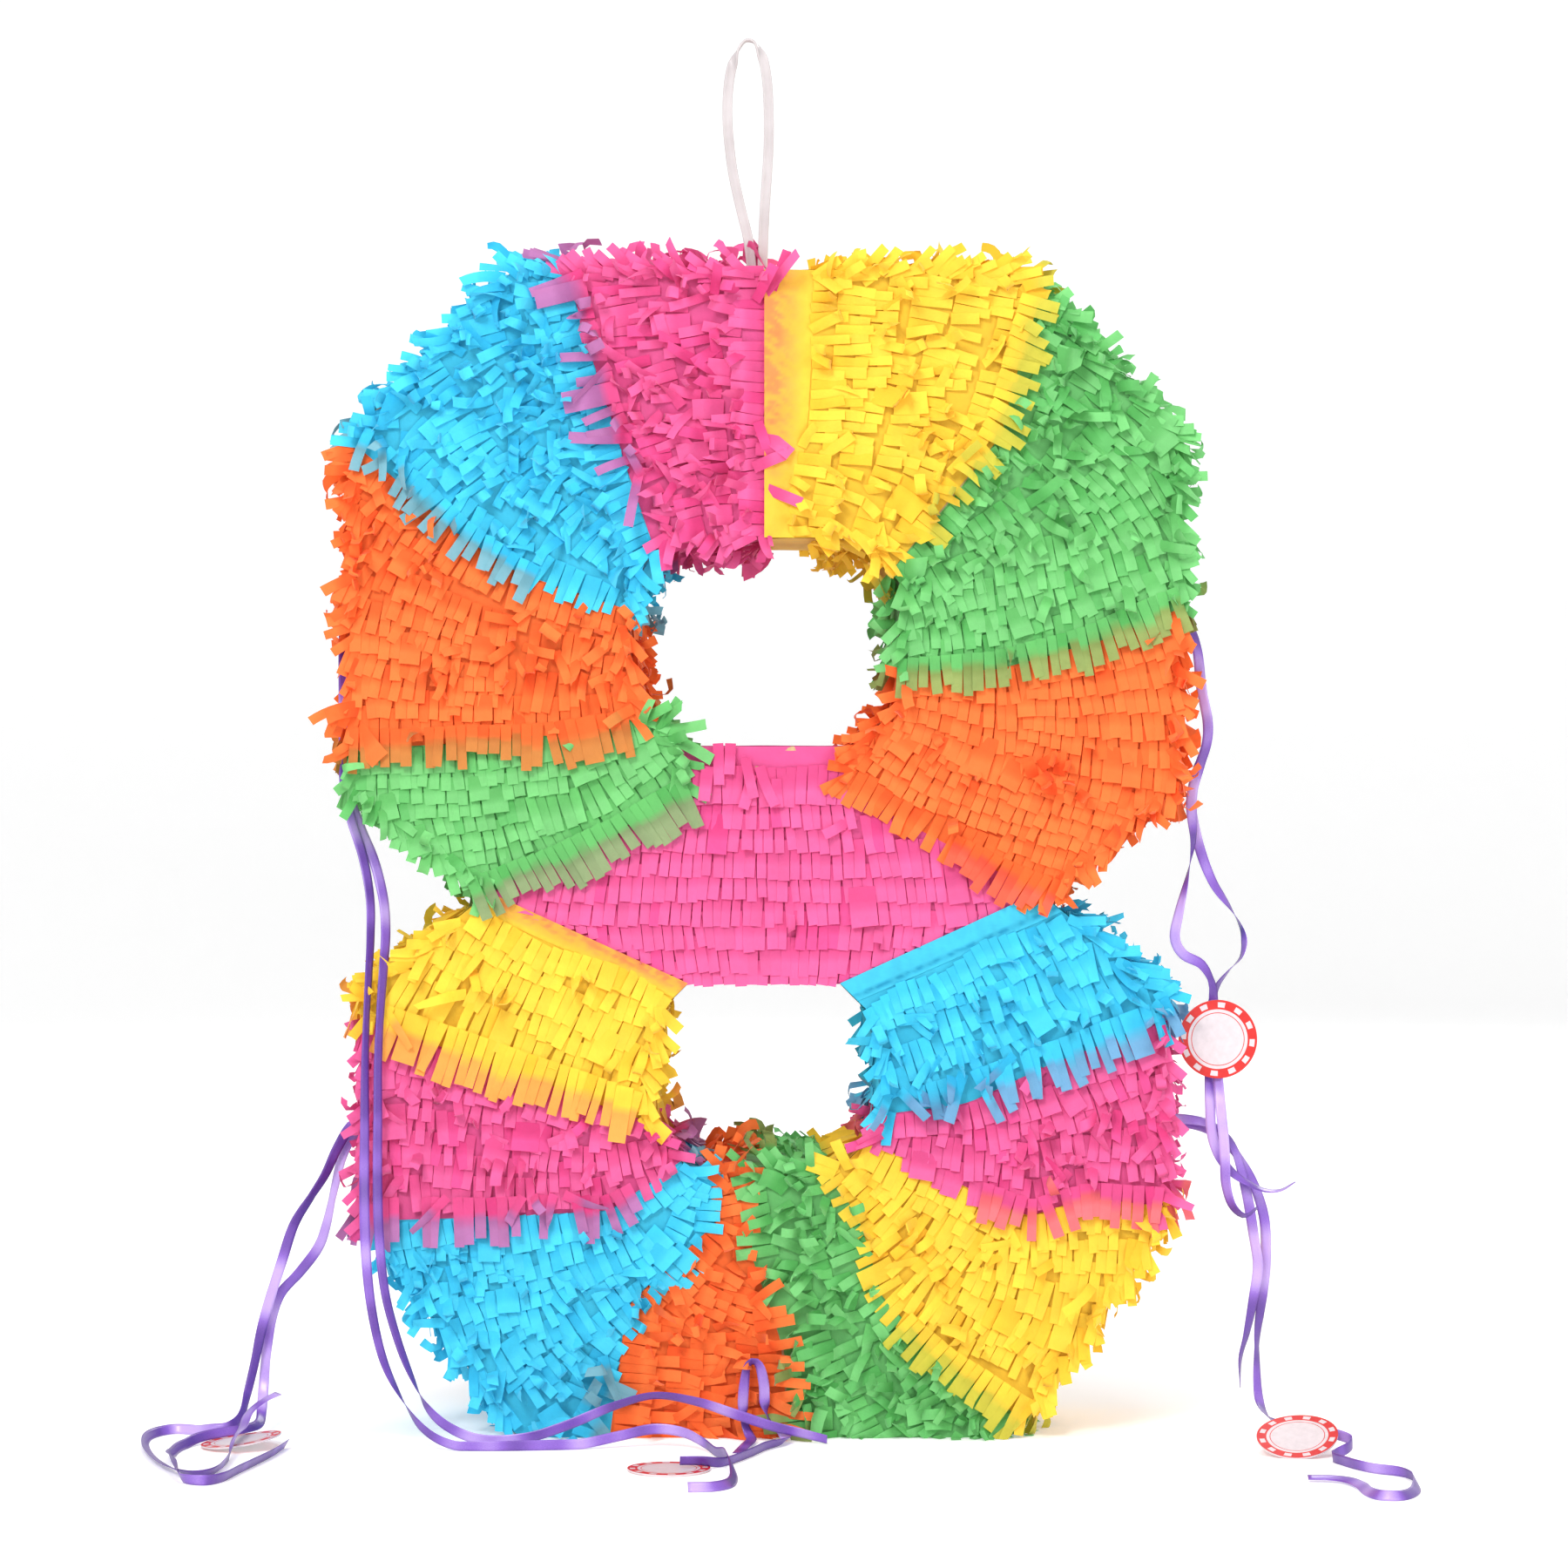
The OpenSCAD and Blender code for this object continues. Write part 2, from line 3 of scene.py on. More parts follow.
import bmesh
import bpy
import numpy as np
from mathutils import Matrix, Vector


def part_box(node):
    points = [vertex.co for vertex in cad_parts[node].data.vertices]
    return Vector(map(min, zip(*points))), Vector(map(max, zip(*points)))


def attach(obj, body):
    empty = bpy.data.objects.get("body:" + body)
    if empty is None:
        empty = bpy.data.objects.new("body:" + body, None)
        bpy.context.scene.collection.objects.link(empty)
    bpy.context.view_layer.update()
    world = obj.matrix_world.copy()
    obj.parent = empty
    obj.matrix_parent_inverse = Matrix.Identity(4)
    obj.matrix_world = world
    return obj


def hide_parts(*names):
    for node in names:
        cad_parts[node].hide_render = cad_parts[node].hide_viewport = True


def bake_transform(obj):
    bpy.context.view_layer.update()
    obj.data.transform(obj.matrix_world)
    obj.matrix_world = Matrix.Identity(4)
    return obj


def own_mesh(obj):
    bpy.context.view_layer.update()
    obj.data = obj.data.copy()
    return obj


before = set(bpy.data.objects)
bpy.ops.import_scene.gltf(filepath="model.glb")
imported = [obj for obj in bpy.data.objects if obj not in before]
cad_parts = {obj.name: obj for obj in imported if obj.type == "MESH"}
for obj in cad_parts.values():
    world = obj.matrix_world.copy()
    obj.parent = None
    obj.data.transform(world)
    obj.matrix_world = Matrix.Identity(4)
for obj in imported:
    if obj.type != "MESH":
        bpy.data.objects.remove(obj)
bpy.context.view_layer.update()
MM = 0.001

# ---------------------------------------------------------------- camera
# The photograph's viewpoint: level, 2 m in front of the card, a little right of the middle.
camera = bpy.data.objects.new("camera", bpy.data.cameras.new("camera"))
bpy.context.scene.collection.objects.link(camera)
camera.location = (0.0096, -2.050, 0.3135)
camera.rotation_euler = (math.radians(90), 0, 0)
camera.data.lens = 95.7
camera.data.sensor_width = 36
camera.data.clip_end = 50
bpy.context.scene.camera = camera

# ---------------------------------------------------------------- frame sizes
FRONT_LOW, FRONT_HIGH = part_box("front_panel")
FRONT_Y, FRONT_INNER = FRONT_LOW[1], FRONT_HIGH[1]
BACK_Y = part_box("back_panel")[1][1]
HATCH_LOW, HATCH_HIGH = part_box("hatch_flap")


# ---------------------------------------------------------------- colours
def srgb(*levels):
    """A linear colour from screen levels of 0 to 255."""
    share = np.array(levels) / 255
    return np.where(share <= 0.04045, share / 12.92, ((share + 0.055) / 1.055) ** 2.4)


PAPER = {
    "pink": srgb(234, 98, 158),
    "yellow": srgb(252, 210, 64),
    "green": srgb(120, 200, 120),
    "orange": srgb(252, 122, 56),
    "blue": srgb(72, 208, 240),
}
# The same paper where it lies in its own shade: deeper and more saturated.
DEEP = {
    "pink": srgb(226, 58, 136),
    "yellow": srgb(248, 188, 36),
    "green": srgb(84, 178, 90),
    "orange": srgb(246, 92, 30),
    "blue": srgb(32, 176, 220),
}
# How strongly painted shade darkens the covered part of a strip: least for the yellow paper, which glows.
SHADING = {"pink": 0.75, "yellow": 0.3, "green": 0.7, "orange": 0.7, "blue": 0.6}
# The stains of glue on the bare bands.
YELLOW_STAIN, BLUE_STAIN = srgb(234, 146, 82), srgb(24, 148, 192)


def over(own, under):
    """The colour of a thin sheet seen with another colour behind it."""
    return 0.75 * own * (0.55 + 0.45 * under) + 0.12 * (own + under)


# ---------------------------------------------------------------- small helpers
def unit(v):
    v = np.asarray(v, float)
    return v / np.maximum(np.linalg.norm(v, axis=-1, keepdims=True), 1e-12)


def run_of(points):
    """How far along a line each of its points is."""
    return np.concatenate([[0], np.cumsum(np.linalg.norm(np.diff(points, axis=0), axis=1))])


def read_at(places, along, values):
    """Each column of values, read at places along a line."""
    return np.stack([np.interp(places, along, column) for column in np.asarray(values).T], -1)


def lay(flat, y):
    """Points (x, z) in millimetres as points in metres, at the depth y."""
    return np.stack([flat[..., 0] * MM, np.broadcast_to(y, flat.shape[:-1]), flat[..., 1] * MM], -1)


def aim(flat):
    """Directions (x, z) as directions in space."""
    return np.stack([flat[..., 0], np.zeros(flat.shape[:-1]), flat[..., 1]], -1)


def link(name, mesh, *materials):
    obj = bpy.data.objects.new(name, mesh)
    bpy.context.scene.collection.objects.link(obj)
    for m in materials:
        mesh.materials.append(m)
    return obj


def mesh_from(name, verts, faces, tint=None):
    """A smooth mesh, whose points may each have a colour, read by the material as "paper"."""
    mesh = bpy.data.meshes.new(name)
    faces = faces.tolist() if isinstance(faces, np.ndarray) else faces
    mesh.from_pydata(verts.reshape(-1, 3).tolist(), [], faces)
    mesh.shade_smooth()
    if tint is not None:
        rgba = np.ones((len(tint), 4), np.float32)
        rgba[:, :3] = tint
        mesh.color_attributes.new("paper", "FLOAT_COLOR", "POINT").data.foreach_set("color", rgba.ravel())
    mesh.update()
    return mesh


def mesh_of(bm, name):
    """A bmesh as a mesh."""
    mesh = bpy.data.meshes.new(name)
    bm.to_mesh(mesh)
    bm.free()
    return mesh


def grid_faces(rows, columns):
    i, j = np.meshgrid(np.arange(rows - 1), np.arange(columns - 1), indexing="ij")
    a = (i * columns + j).ravel()
    return np.stack([a, a + 1, a + columns + 1, a + columns], 1)


# ---------------------------------------------------------------- materials
class Look:
    """A material in the making."""

    def __init__(self, name):
        self.material = bpy.data.materials.new(name)
        self.material.use_nodes = True
        self.tree = self.material.node_tree
        self.tree.nodes.clear()

    def node(self, kind, inputs, **settings):
        """A new node. An input that is given a socket is linked to it, and any other is set."""
        new = self.tree.nodes.new("ShaderNode" + kind)
        for key, value in settings.items():
            setattr(new, key, value)
        for key, value in inputs.items():
            if isinstance(value, bpy.types.NodeSocket):
                self.tree.links.new(value, new.inputs[key])
            else:
                new.inputs[key].default_value = value
        return new

    def place(self):
        return self.node("TexCoord", {}).outputs["Object"]

    def stretch(self, place, scale):
        return self.node("Mapping", {"Vector": place, "Scale": scale}).outputs[0]

    def noise(self, place, scale, detail, roughness, distortion=0.0):
        return self.node("TexNoise", {
            "Vector": place, "Scale": scale, "Detail": detail, "Roughness": roughness,
            "Distortion": distortion}).outputs["Fac"]

    def span(self, value, low, high, start=0.0, end=1.0):
        """A value, whose range from start to end becomes low to high."""
        return self.node("MapRange", {"Value": value, "From Min": start, "From Max": end, "To Min": low,
                                      "To Max": high}).outputs["Result"]

    def ramp(self, value, *stops):
        """Colours in screen levels at places along a value: the first, the last, and any between."""
        new = self.node("ValToRGB", {"Fac": value})
        elements = new.color_ramp.elements
        for k, (place, colour) in enumerate(stops):
            element = elements[k] if k < 2 else elements.new(place)
            element.position = place
            element.color = (*srgb(*colour), 1)
        return new.outputs["Color"]

    def bump(self, height, strength, distance):
        inputs = {"Height": height, "Strength": strength, "Distance": distance}
        return self.node("Bump", inputs).outputs["Normal"]

    def surface(self, colour, roughness, normal, more):
        inputs = {"Base Color": colour, "Roughness": roughness, "Normal": normal, **more}
        return self.node("BsdfPrincipled", inputs).outputs[0]

    def lit_through(self, surface, share, inputs):
        """The surface with a share of the light that falls on its other side."""
        behind = self.node("BsdfTranslucent", inputs).outputs[0]
        return self.node("MixShader", {"Fac": share, 1: surface, 2: behind}).outputs[0]

    def finish(self, shader):
        self.node("OutputMaterial", {"Surface": shader})
        return self.material


def tissue_material(name, crinkle=1.0):
    """Crepe-like tissue: its colour comes with the mesh, mottled and finely crinkled."""
    look = Look(name)
    place = look.place()
    paper = look.node("Attribute", {}, attribute_name="paper").outputs["Color"]
    mottle = look.span(look.noise(place, 90.0, 4.0, 0.6), 0.93, 1.06, 0.3, 0.7)
    colour = look.node("VectorMath", {0: paper, "Scale": mottle}, operation="SCALE").outputs[0]
    fibre = look.noise(place, 900.0, 3.0, 0.7)
    crease = look.noise(place, 190.0, 5.0, 0.65, 0.8)
    height = look.node("Math", {0: fibre, 1: 0.25, 2: crease}, operation="MULTIPLY_ADD").outputs[0]
    normal = look.bump(height, 0.28 * crinkle, 0.0012)
    body = look.surface(colour, look.span(crease, 0.62, 0.85), normal, {
        "Specular IOR Level": 0.28, "Sheen Weight": 0.12, "Sheen Roughness": 0.5})
    return look.finish(look.lit_through(body, 0.22, {"Color": colour, "Normal": normal}))


def card_material(name, light, dark, along):
    """Brown card with the faint ribs of its corrugation and flecks of fibre."""
    look = Look(name)
    place = look.place()
    flecks = look.noise(look.stretch(place, along), 420.0, 5.0, 0.7)
    ribs = look.node("TexWave", {"Vector": place, "Scale": 42.0, "Distortion": 0.6, "Detail": 1.0})
    return look.finish(look.surface(
        look.ramp(flecks, (0.32, dark), (0.7, light)), look.span(flecks, 0.7, 0.92),
        look.bump(ribs.outputs["Fac"], 0.2, 0.0006), {"Specular IOR Level": 0.2}))


def ribbon_material(name):
    """Satin polypropylene ribbon: fine lines along it, and a painted sheen and shade that come with the mesh.
    """
    look = Look(name)
    place = look.stretch(look.node("UVMap", {}).outputs[0], (34.0, 5.0, 1.0))
    lines = look.noise(place, 1.0, 4.0, 0.6)
    # The attribute holds the painted sheen; the ramp below runs from a shaded dark purple to a lit pale
    # lavender.
    satin = look.node("Attribute", {}, attribute_name="paper").outputs["Fac"]
    tone = look.node("Math", {0: lines, 1: 0.4, 2: satin}, operation="MULTIPLY_ADD").outputs[0]
    colour = look.ramp(tone, (0.15, (98, 56, 158)), (1.0, (206, 176, 240)), (0.55, (144, 100, 206)))
    body = look.surface(colour, look.span(lines, 0.2, 0.42), look.bump(lines, 0.12, 0.0003), {
        "Specular IOR Level": 0.6, "Anisotropic": 0.6, "Coat Weight": 0.25, "Coat Roughness": 0.2})
    return look.finish(look.lit_through(body, 0.2, {"Color": colour}))


def plastic_material(name, light, dark):
    """Milky nylon: slightly uneven colour and a satin surface with fine flow lines."""
    look = Look(name)
    place = look.place()
    cloud = look.noise(place, 60.0, 3.0, 0.5)
    grain = look.noise(place, 700.0, 2.0, 0.5)
    return look.finish(look.surface(
        look.ramp(cloud, (0.3, dark), (0.7, light)), look.span(grain, 0.3, 0.48),
        look.bump(grain, 0.08, 0.0003),
        {"Subsurface Weight": 0.3, "Subsurface Radius": (0.003, 0.003, 0.003), "Subsurface Scale": 0.5}))


def print_material(name, light, dark):
    """Coated card with a printed colour: faint mottle and a soft gloss."""
    look = Look(name)
    cloud = look.noise(look.place(), 260.0, 4.0, 0.6)
    return look.finish(look.surface(look.ramp(cloud, (0.3, dark), (0.7, light)), look.span(cloud, 0.35, 0.5),
                                    look.bump(cloud, 0.06, 0.0003), {}))


def floor_material(name):
    """Even matt white that glows a little, as a lit backdrop does."""
    look = Look(name)
    return look.finish(look.node("BsdfPrincipled", {
        "Roughness": 0.9, "Base Color": (0.93, 0.93, 0.93, 1), "Specular IOR Level": 0.1,
        "Emission Color": (1, 1, 1, 1), "Emission Strength": 0.23}).outputs[0])


TISSUE = tissue_material("tissue")
TISSUE_FLAT = tissue_material("tissue_laid", crinkle=0.7)
CARD = card_material("card", (208, 178, 138), (176, 144, 104), (1.0, 1.0, 0.35))
BRACE_CARD = card_material("brace_card", (198, 166, 124), (164, 132, 92), (0.4, 1.0, 1.0))
RIBBON = ribbon_material("ribbon")
NYLON = plastic_material("strap_nylon", (190, 183, 184), (176, 168, 169))
TAG_WHITE = print_material("tag_white", (216, 205, 208), (203, 192, 195))
TAG_RED = print_material("tag_red", (210, 32, 26), (196, 24, 20))

# ---------------------------------------------------------------- ribbons
RIBBON_W = 5 * MM
RIBBON_THICK = 0.25 * MM
TAG_RADIUS = 19 * MM
TAG_THICK = 0.8 * MM
# The route of each ribbon, in millimetres, as in the CAD model.
ROUTES = {
    "ribbon_a1": [
        (198.5, -28, 394), (206, -28, 391), (210, -29, 378), (212, -29, 360), (215, -29, 344),
        (214.5, -29, 333), (211, -29, 322), (207, -29, 306), (208, -29, 286), (205, -29, 268),
        (201, -30, 251), (199, -30, 239), (203, -30, 231), (212, -30, 226), (217, -30, 217),
        (218, -28, 206), (219, -28, 190), (220, -30, 170), (221, -34, 155), (222, -37, 142),
        (222.5, -38, 131), (223, -38, 120), (226, -38, 110), (232, -38, 105), (238, -38, 109)],
    "ribbon_a2": [
        (198.5, -23, 393), (206, -23, 388), (210, -23, 375), (213, -23, 358), (216, -23, 344),
        (214, -23, 331), (210, -23, 319), (208, -23, 304), (211, -23, 285), (218, -23, 266),
        (228, -24, 251), (233, -24, 240), (232, -24, 230), (226, -24, 223), (220, -24, 215),
        (217, -23, 204), (216, -23, 190), (216, -26, 174), (216, -31, 158), (216.5, -33, 145),
        (220, -33, 134), (226, -33, 126), (233, -33, 121), (242, -33, 117), (250, -33, 117),
        (257, -33, 121)],
    "ribbon_b1": [
        (191.5, -28, 151), (203, -28, 151), (215, -28, 149), (224, -28, 143), (229, -28, 134),
        (232, -28, 124), (235, -28, 110), (237.5, -28, 94), (239.5, -28, 80), (237.5, -28, 65),
        (234, -28, 47), (231, -28, 35), (231, -27, 21)],
    "ribbon_b2": [
        (191.5, -23, 149), (203, -23, 149), (215, -23, 146), (225, -22, 139), (234, -22, 127),
        (240, -22, 114), (243.5, -22, 100), (244, -22, 82), (242.5, -22, 66), (240, -22, 47),
        (239.5, -23, 33), (239.5, -27, 20), (240, -37, 13), (242, -52, 9.5), (245, -68, 9),
        (249, -82, 9.2), (256, -89, 9.4), (265, -92, 8.8), (272, -96, 7.6), (275, -103, 6.4),
        (272, -111, 4.8), (266, -117, 3), (263, -124, 2), (266, -134, 2), (271, -146, 2),
        (278, -157, 2), (288, -165, 2), (292, -178, 2), (291, -196, 2), (287, -214, 2),
        (280, -226, 2), (271, -226, 2), (267, -214, 2), (266, -198, 2), (262, -184, 2),
        (254, -178, 2), (245, -177, 2)],
    "ribbon_c1": [
        (-191.5, -28, 151), (-200, -28, 148), (-207, -28, 137), (-213, -28, 124),
        (-220, -28, 113), (-228, -28, 100), (-234, -28, 82), (-240, -28, 63), (-244, -28, 48),
        (-247, -29, 33), (-250, -33, 19), (-252, -41, 9), (-257, -50, 5), (-266, -50, 4),
        (-276, -42, 2), (-285, -40, 2), (-292, -50, 2), (-294, -66, 2), (-290, -92, 2),
        (-283, -118, 2), (-274, -142, 2), (-265, -160, 2), (-256, -169, 2), (-249, -162, 2),
        (-247, -142, 2), (-247, -120, 2.6), (-248, -103, 5.8), (-248, -90, 7),
        (-247, -74, 8.4), (-246, -60, 13),
        (-241, -49, 17), (-234, -42, 20)],
    "ribbon_c2": [
        (-191.5, -23, 149), (-199, -23, 144), (-205, -23, 133), (-209, -23, 117),
        (-213, -23, 99), (-217, -23, 88), (-226, -23, 76), (-235, -23, 66), (-239.5, -23, 54),
        (-242, -23, 38), (-243, -26, 22), (-243, -34, 11), (-243, -46, 6), (-249, -56, 5),
        (-258, -63, 4.5), (-268, -74, 3.6), (-274, -92, 2), (-275, -112, 2.6), (-273, -132, 5),
        (-269, -150, 6.4), (-265, -168, 4.6), (-259, -184, 2), (-249, -189, 2), (-242, -180, 2),
        (-238, -160, 2), (-233, -136, 2), (-228, -110, 2), (-225, -84, 2.4)],
    "ribbon_d1": [
        (-198.5, -28, 394), (-203.8, -28, 390), (-204.4, -28, 378), (-204, -28, 355),
        (-203.8, -28, 330), (-203.4, -28.5, 312), (-200, -30, 296), (-194, -34, 278), (-190, -40, 258),
        (-189, -48, 240), (-189, -57, 222), (-189.5, -61.5, 204), (-190, -64, 180), (-190, -66, 150),
        (-190, -68, 120), (-189, -71, 92), (-186, -75, 66), (-180, -80, 42), (-171, -84, 24),
        (-160, -89, 10), (-146, -92, 3), (-128, -93, 2), (-108, -91, 2),
        (-88, -88, 2.5), (-68, -84, 6), (-52, -82, 9), (-38, -86, 8), (-28, -98, 5),
        (-22, -118, 4), (-17, -138, 6.6), (-14, -158, 4), (-13, -178, 2), (-15, -194, 2),
        (-22, -203, 2), (-33, -205, 2)],
    "ribbon_d2": [
        (-198.5, -23, 392), (-203.6, -23, 388), (-204, -23, 372), (-203.8, -23, 350),
        (-203.6, -23, 328), (-202, -23.5, 309), (-196, -26, 292), (-189, -30, 276), (-184, -36, 258),
        (-182, -45, 242), (-182, -56, 226), (-183, -60.5, 206), (-184, -62, 182), (-184, -63.5, 154),
        (-184, -65, 124), (-183, -67, 98), (-180, -69, 72), (-174, -71, 50), (-167, -72, 32),
        (-159, -73, 17), (-148, -75, 8), (-133, -76, 3), (-112, -76, 4), (-92, -74, 10),
        (-72, -72, 18), (-52, -70, 23), (-32, -69, 20), (-14, -68, 14), (4, -67, 8),
        (18, -69, 5), (30, -73, 2.6)],
    "ribbon_d3": [
        (-38, -146, 4.4), (-28, -145, 4.2), (-21, -141, 2.8), (-15, -133, 2), (-6, -112, 2),
        (1, -92, 2), (8, -79, 2), (11, -69, 2), (9, -62, 3.5), (3, -60, 9),
        (0.5, -60, 17), (0, -60, 27), (-2, -60, 35.5), (-5, -60, 38), (-8, -60, 35.5),
        (-9.5, -60, 26), (-10, -60, 16), (-9, -61, 8), (-7, -64, 3.5), (-6, -70, 2),
        (-9, -90, 2), (-12, -110, 2)],
}
# How far each ribbon has turned about its own line, in degrees, at shares of its length.
# At 0 its width lies across the view on the hanging run and flat on the floor on the lying run.
TURNS = {
    "ribbon_a1": [(0, 80), (0.05, 30), (0.14, -25), (0.22, 20), (0.3, -10), (0.36, 50), (0.43, 110),
                  (0.5, 165), (0.56, 190), (0.6, 230), (0.66, 180), (0.74, 150), (0.82, 190), (0.9, 160),
                  (1, 110)],
    "ribbon_a2": [(0, 80), (0.05, 50), (0.1, 85), (0.2, 70), (0.26, 15), (0.31, -40), (0.36, -5),
                  (0.44, 40), (0.48, 88), (0.52, 120), (0.58, 70), (0.66, 15), (0.74, 25), (0.82, -20),
                  (0.92, 60), (1, 95)],
    "ribbon_b1": [(0, 0), (0.2, 60), (0.35, 20), (0.55, -25), (0.7, 10), (0.88, 60), (1, 82)],
    "ribbon_b2": [(0, 0), (0.1, 40), (0.2, -20), (0.27, 30), (0.3, 60), (0.36, 20), (0.45, 75), (0.5, 100),
                  (0.56, 85), (0.66, 80), (0.74, 70), (0.8, 35), (0.86, 60), (0.93, 25), (1, 15)],
    "ribbon_c1": [(0, 0), (0.1, 50), (0.2, -15), (0.27, 40), (0.34, 80), (0.45, 60), (0.55, 30), (0.66, 20),
                  (0.74, 60), (0.82, 80), (0.92, 20), (1, 5)],
    "ribbon_c2": [(0, 0), (0.1, -45), (0.2, 25), (0.3, -20), (0.38, 40), (0.5, 70), (0.62, 35), (0.75, 75),
                  (1, 60)],
    "ribbon_d1": [(0, 60), (0.08, 10), (0.3, 60), (0.45, 20), (0.55, 50), (0.7, 85), (0.86, 80),
                  (0.93, 45), (1, 55)],
    "ribbon_d2": [(0, 60), (0.08, -10), (0.35, 50), (0.5, 30), (0.6, 50), (0.7, 82), (0.82, 76),
                  (0.92, 84), (1, 62)],
    "ribbon_d3": [(0, 60), (0.12, 70), (0.3, 75), (0.42, 40), (0.48, 0), (0.58, 12), (0.64, 60), (0.7, 20),
                  (0.8, 0), (0.86, 8), (1, 0)],
}


def smooth_line(points, step):
    """Points a step apart on a Catmull-Rom curve through the given ones, and its length."""
    p = np.asarray(points, float)
    ends = np.vstack([2 * p[0] - p[1], p, 2 * p[-1] - p[-2]])
    fine = []
    for i in range(1, len(ends) - 2):
        a, b, c, d = ends[i - 1:i + 3]
        n = max(4, int(np.linalg.norm(c - b) / step * 3))
        t = np.linspace(0, 1, n, endpoint=False)[:, None]
        fine.append(0.5 * (2 * b + (c - a) * t + (2 * a - 5 * b + 4 * c - d) * t**2
                           + (3 * b - a - 3 * c + d) * t**3))
    fine = np.vstack(fine + [p[-1:]])
    along = run_of(fine)
    return read_at(np.linspace(0, along[-1], int(along[-1] / step) + 1), along, fine), along[-1]


def turned(direction, lie, angle):
    """The ribbon's width at each point: square to its direction, turned about it by an angle."""
    flat = unit(np.cross(direction, lie))
    return np.cos(angle)[:, None] * flat + np.sin(angle)[:, None] * unit(np.cross(flat, direction))


def ribbon_mesh(name, line, width_dir):
    """A flat band with a slightly crowned section, and its UV map along its length."""
    n = len(line)
    face = unit(np.cross(width_dir, unit(np.gradient(line, axis=0))))
    across = np.array([-0.5, -0.25, 0.0, 0.25, 0.5])
    crown = 0.35 * RIBBON_THICK * np.array([0, 0.8, 1, 0.8, 0])
    verts = np.stack([line + (width_dir * u * RIBBON_W + face * (v + side * RIBBON_THICK / 2))
                      for side in (1, -1) for u, v in zip(across, crown)], 1)
    ring = [0, 1, 2, 3, 4, 9, 8, 7, 6, 5]
    run = np.linspace(0, n * 0.4, n)
    corners = [[(i, a), (i, b), (i + 1, b), (i + 1, a)]
               for i in range(n - 1) for a, b in zip(ring, ring[1:] + ring[:1])]
    corners += [[(0, k) for k in ring[::-1]], [(n - 1, k) for k in ring]]
    # Painted sheen and shade: each point is lighter the more the band faces a fixed light direction, with
    # slow waves along its length.
    facing = np.abs(face @ unit([-0.35, -0.8, 0.48]))
    pace = 0.18 * np.sin(np.arange(n) * 0.23 + len(name)) + 0.12 * np.sin(np.arange(n) * 0.61)
    satin = np.clip((facing - 0.42) * 1.5 + pace, 0, 0.8)
    mesh = mesh_from(name, verts, [[i * 10 + k for i, k in loop] for loop in corners],
                     np.repeat(satin, 10)[:, None])
    uvs = [((k % 5) / 4, run[i]) for loop in corners for i, k in loop]
    mesh.uv_layers.new(name="UVMap").data.foreach_set("uv", np.array(uvs, np.float32).ravel())
    return mesh


def make_tag(name, node_name, lean, bow):
    """A round card tag: a red rim with white squares round a white middle with a thin red ring."""
    low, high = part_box(node_name)
    per = 10
    segments = 12 * per
    angles = [2 * math.pi * k / segments for k in range(segments)]
    bm = bmesh.new()
    rings = [[bm.verts.new((TAG_RADIUS * r * math.cos(a), TAG_RADIUS * r * math.sin(a), TAG_THICK / 2))
              for a in angles] for r in (0.66, 0.68, 0.76, 0.81, 0.94, 1.0)]
    centre = bm.verts.new((0, 0, TAG_THICK / 2))
    for k in range(segments):
        j = (k + 1) % segments
        bm.faces.new((centre, rings[0][k], rings[0][j]))
        for r, (a, b) in enumerate(zip(rings, rings[1:])):
            red = r in (0, 2, 4) or (r == 3 and k % per >= 4)
            bm.faces.new((a[k], b[k], b[j], a[j])).material_index = int(red)
    bm.normal_update()
    below = bmesh.ops.duplicate(bm, geom=bm.verts[:] + bm.edges[:] + bm.faces[:])
    below_of = below["vert_map"]
    bmesh.ops.reverse_faces(bm, faces=[g for g in below["geom"] if isinstance(g, bmesh.types.BMFace)])
    for v in below["geom"]:
        if isinstance(v, bmesh.types.BMVert):
            v.co.z = -TAG_THICK / 2
    rim = rings[-1]
    for a, b in zip(rim, rim[1:] + rim[:1]):
        bm.faces.new((a, below_of[a], below_of[b], b))
    # A gentle bow, as card that has been rolled up in a packet has.
    for v in bm.verts:
        v.co.z += bow * MM * ((v.co.x / TAG_RADIUS) ** 2 - 0.5)
    tag = link(name, mesh_of(bm, name), TAG_WHITE, TAG_RED)
    tag.location = [(low[k] + high[k]) / 2 for k in range(3)]
    tag.rotation_euler = lean
    bpy.context.view_layer.update()
    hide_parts(node_name)
    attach(tag, "front_shell")
    return tag


# How each tag leans (radians about X, Y and Z) and how far it is bowed, in millimetres.
TAG_LEAN = {
    "a": ((math.radians(90), math.radians(12), 0), 0.5),
    "b": ((math.radians(22), math.radians(-6), 0), 1.0),
    "c": ((0, math.radians(-8), 0), 0.6),
    "d": ((0, 0, 0), 0.3),
}
# The card tag of each place, a to d.
tags = {letter: make_tag(f"card_tag_{letter}", f"tag_{letter}", *TAG_LEAN[letter]) for letter in TAG_LEAN}


def ribbon(cord_name, route):
    line, length = smooth_line(np.array(route) * MM, 2 * MM)
    # On the hanging run the ribbon's face looks towards -Y, and on the floor it looks up.
    hang = np.clip((line[:, 2] - 0.012) / 0.03, 0, 1)[:, None]
    lie = unit(hang * np.array([0, -1, 0]) + (1 - hang) * np.array([0, 0, 1]))
    stops, angles = zip(*TURNS[cord_name])
    angle = np.radians(np.interp(np.linspace(0, 1, len(line)), stops, angles))
    width_dir = turned(unit(np.gradient(line, axis=0)), lie, angle)
    line[:, 2] = np.maximum(line[:, 2], 0.5 * RIBBON_W * np.abs(width_dir[:, 2]) + 0.2 * MM)
    piece = link(cord_name + "_band", ribbon_mesh(cord_name, line, width_dir), RIBBON)
    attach(piece, "front_shell")
    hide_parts(cord_name)


for cord_name, route in ROUTES.items():
    ribbon(cord_name, route)

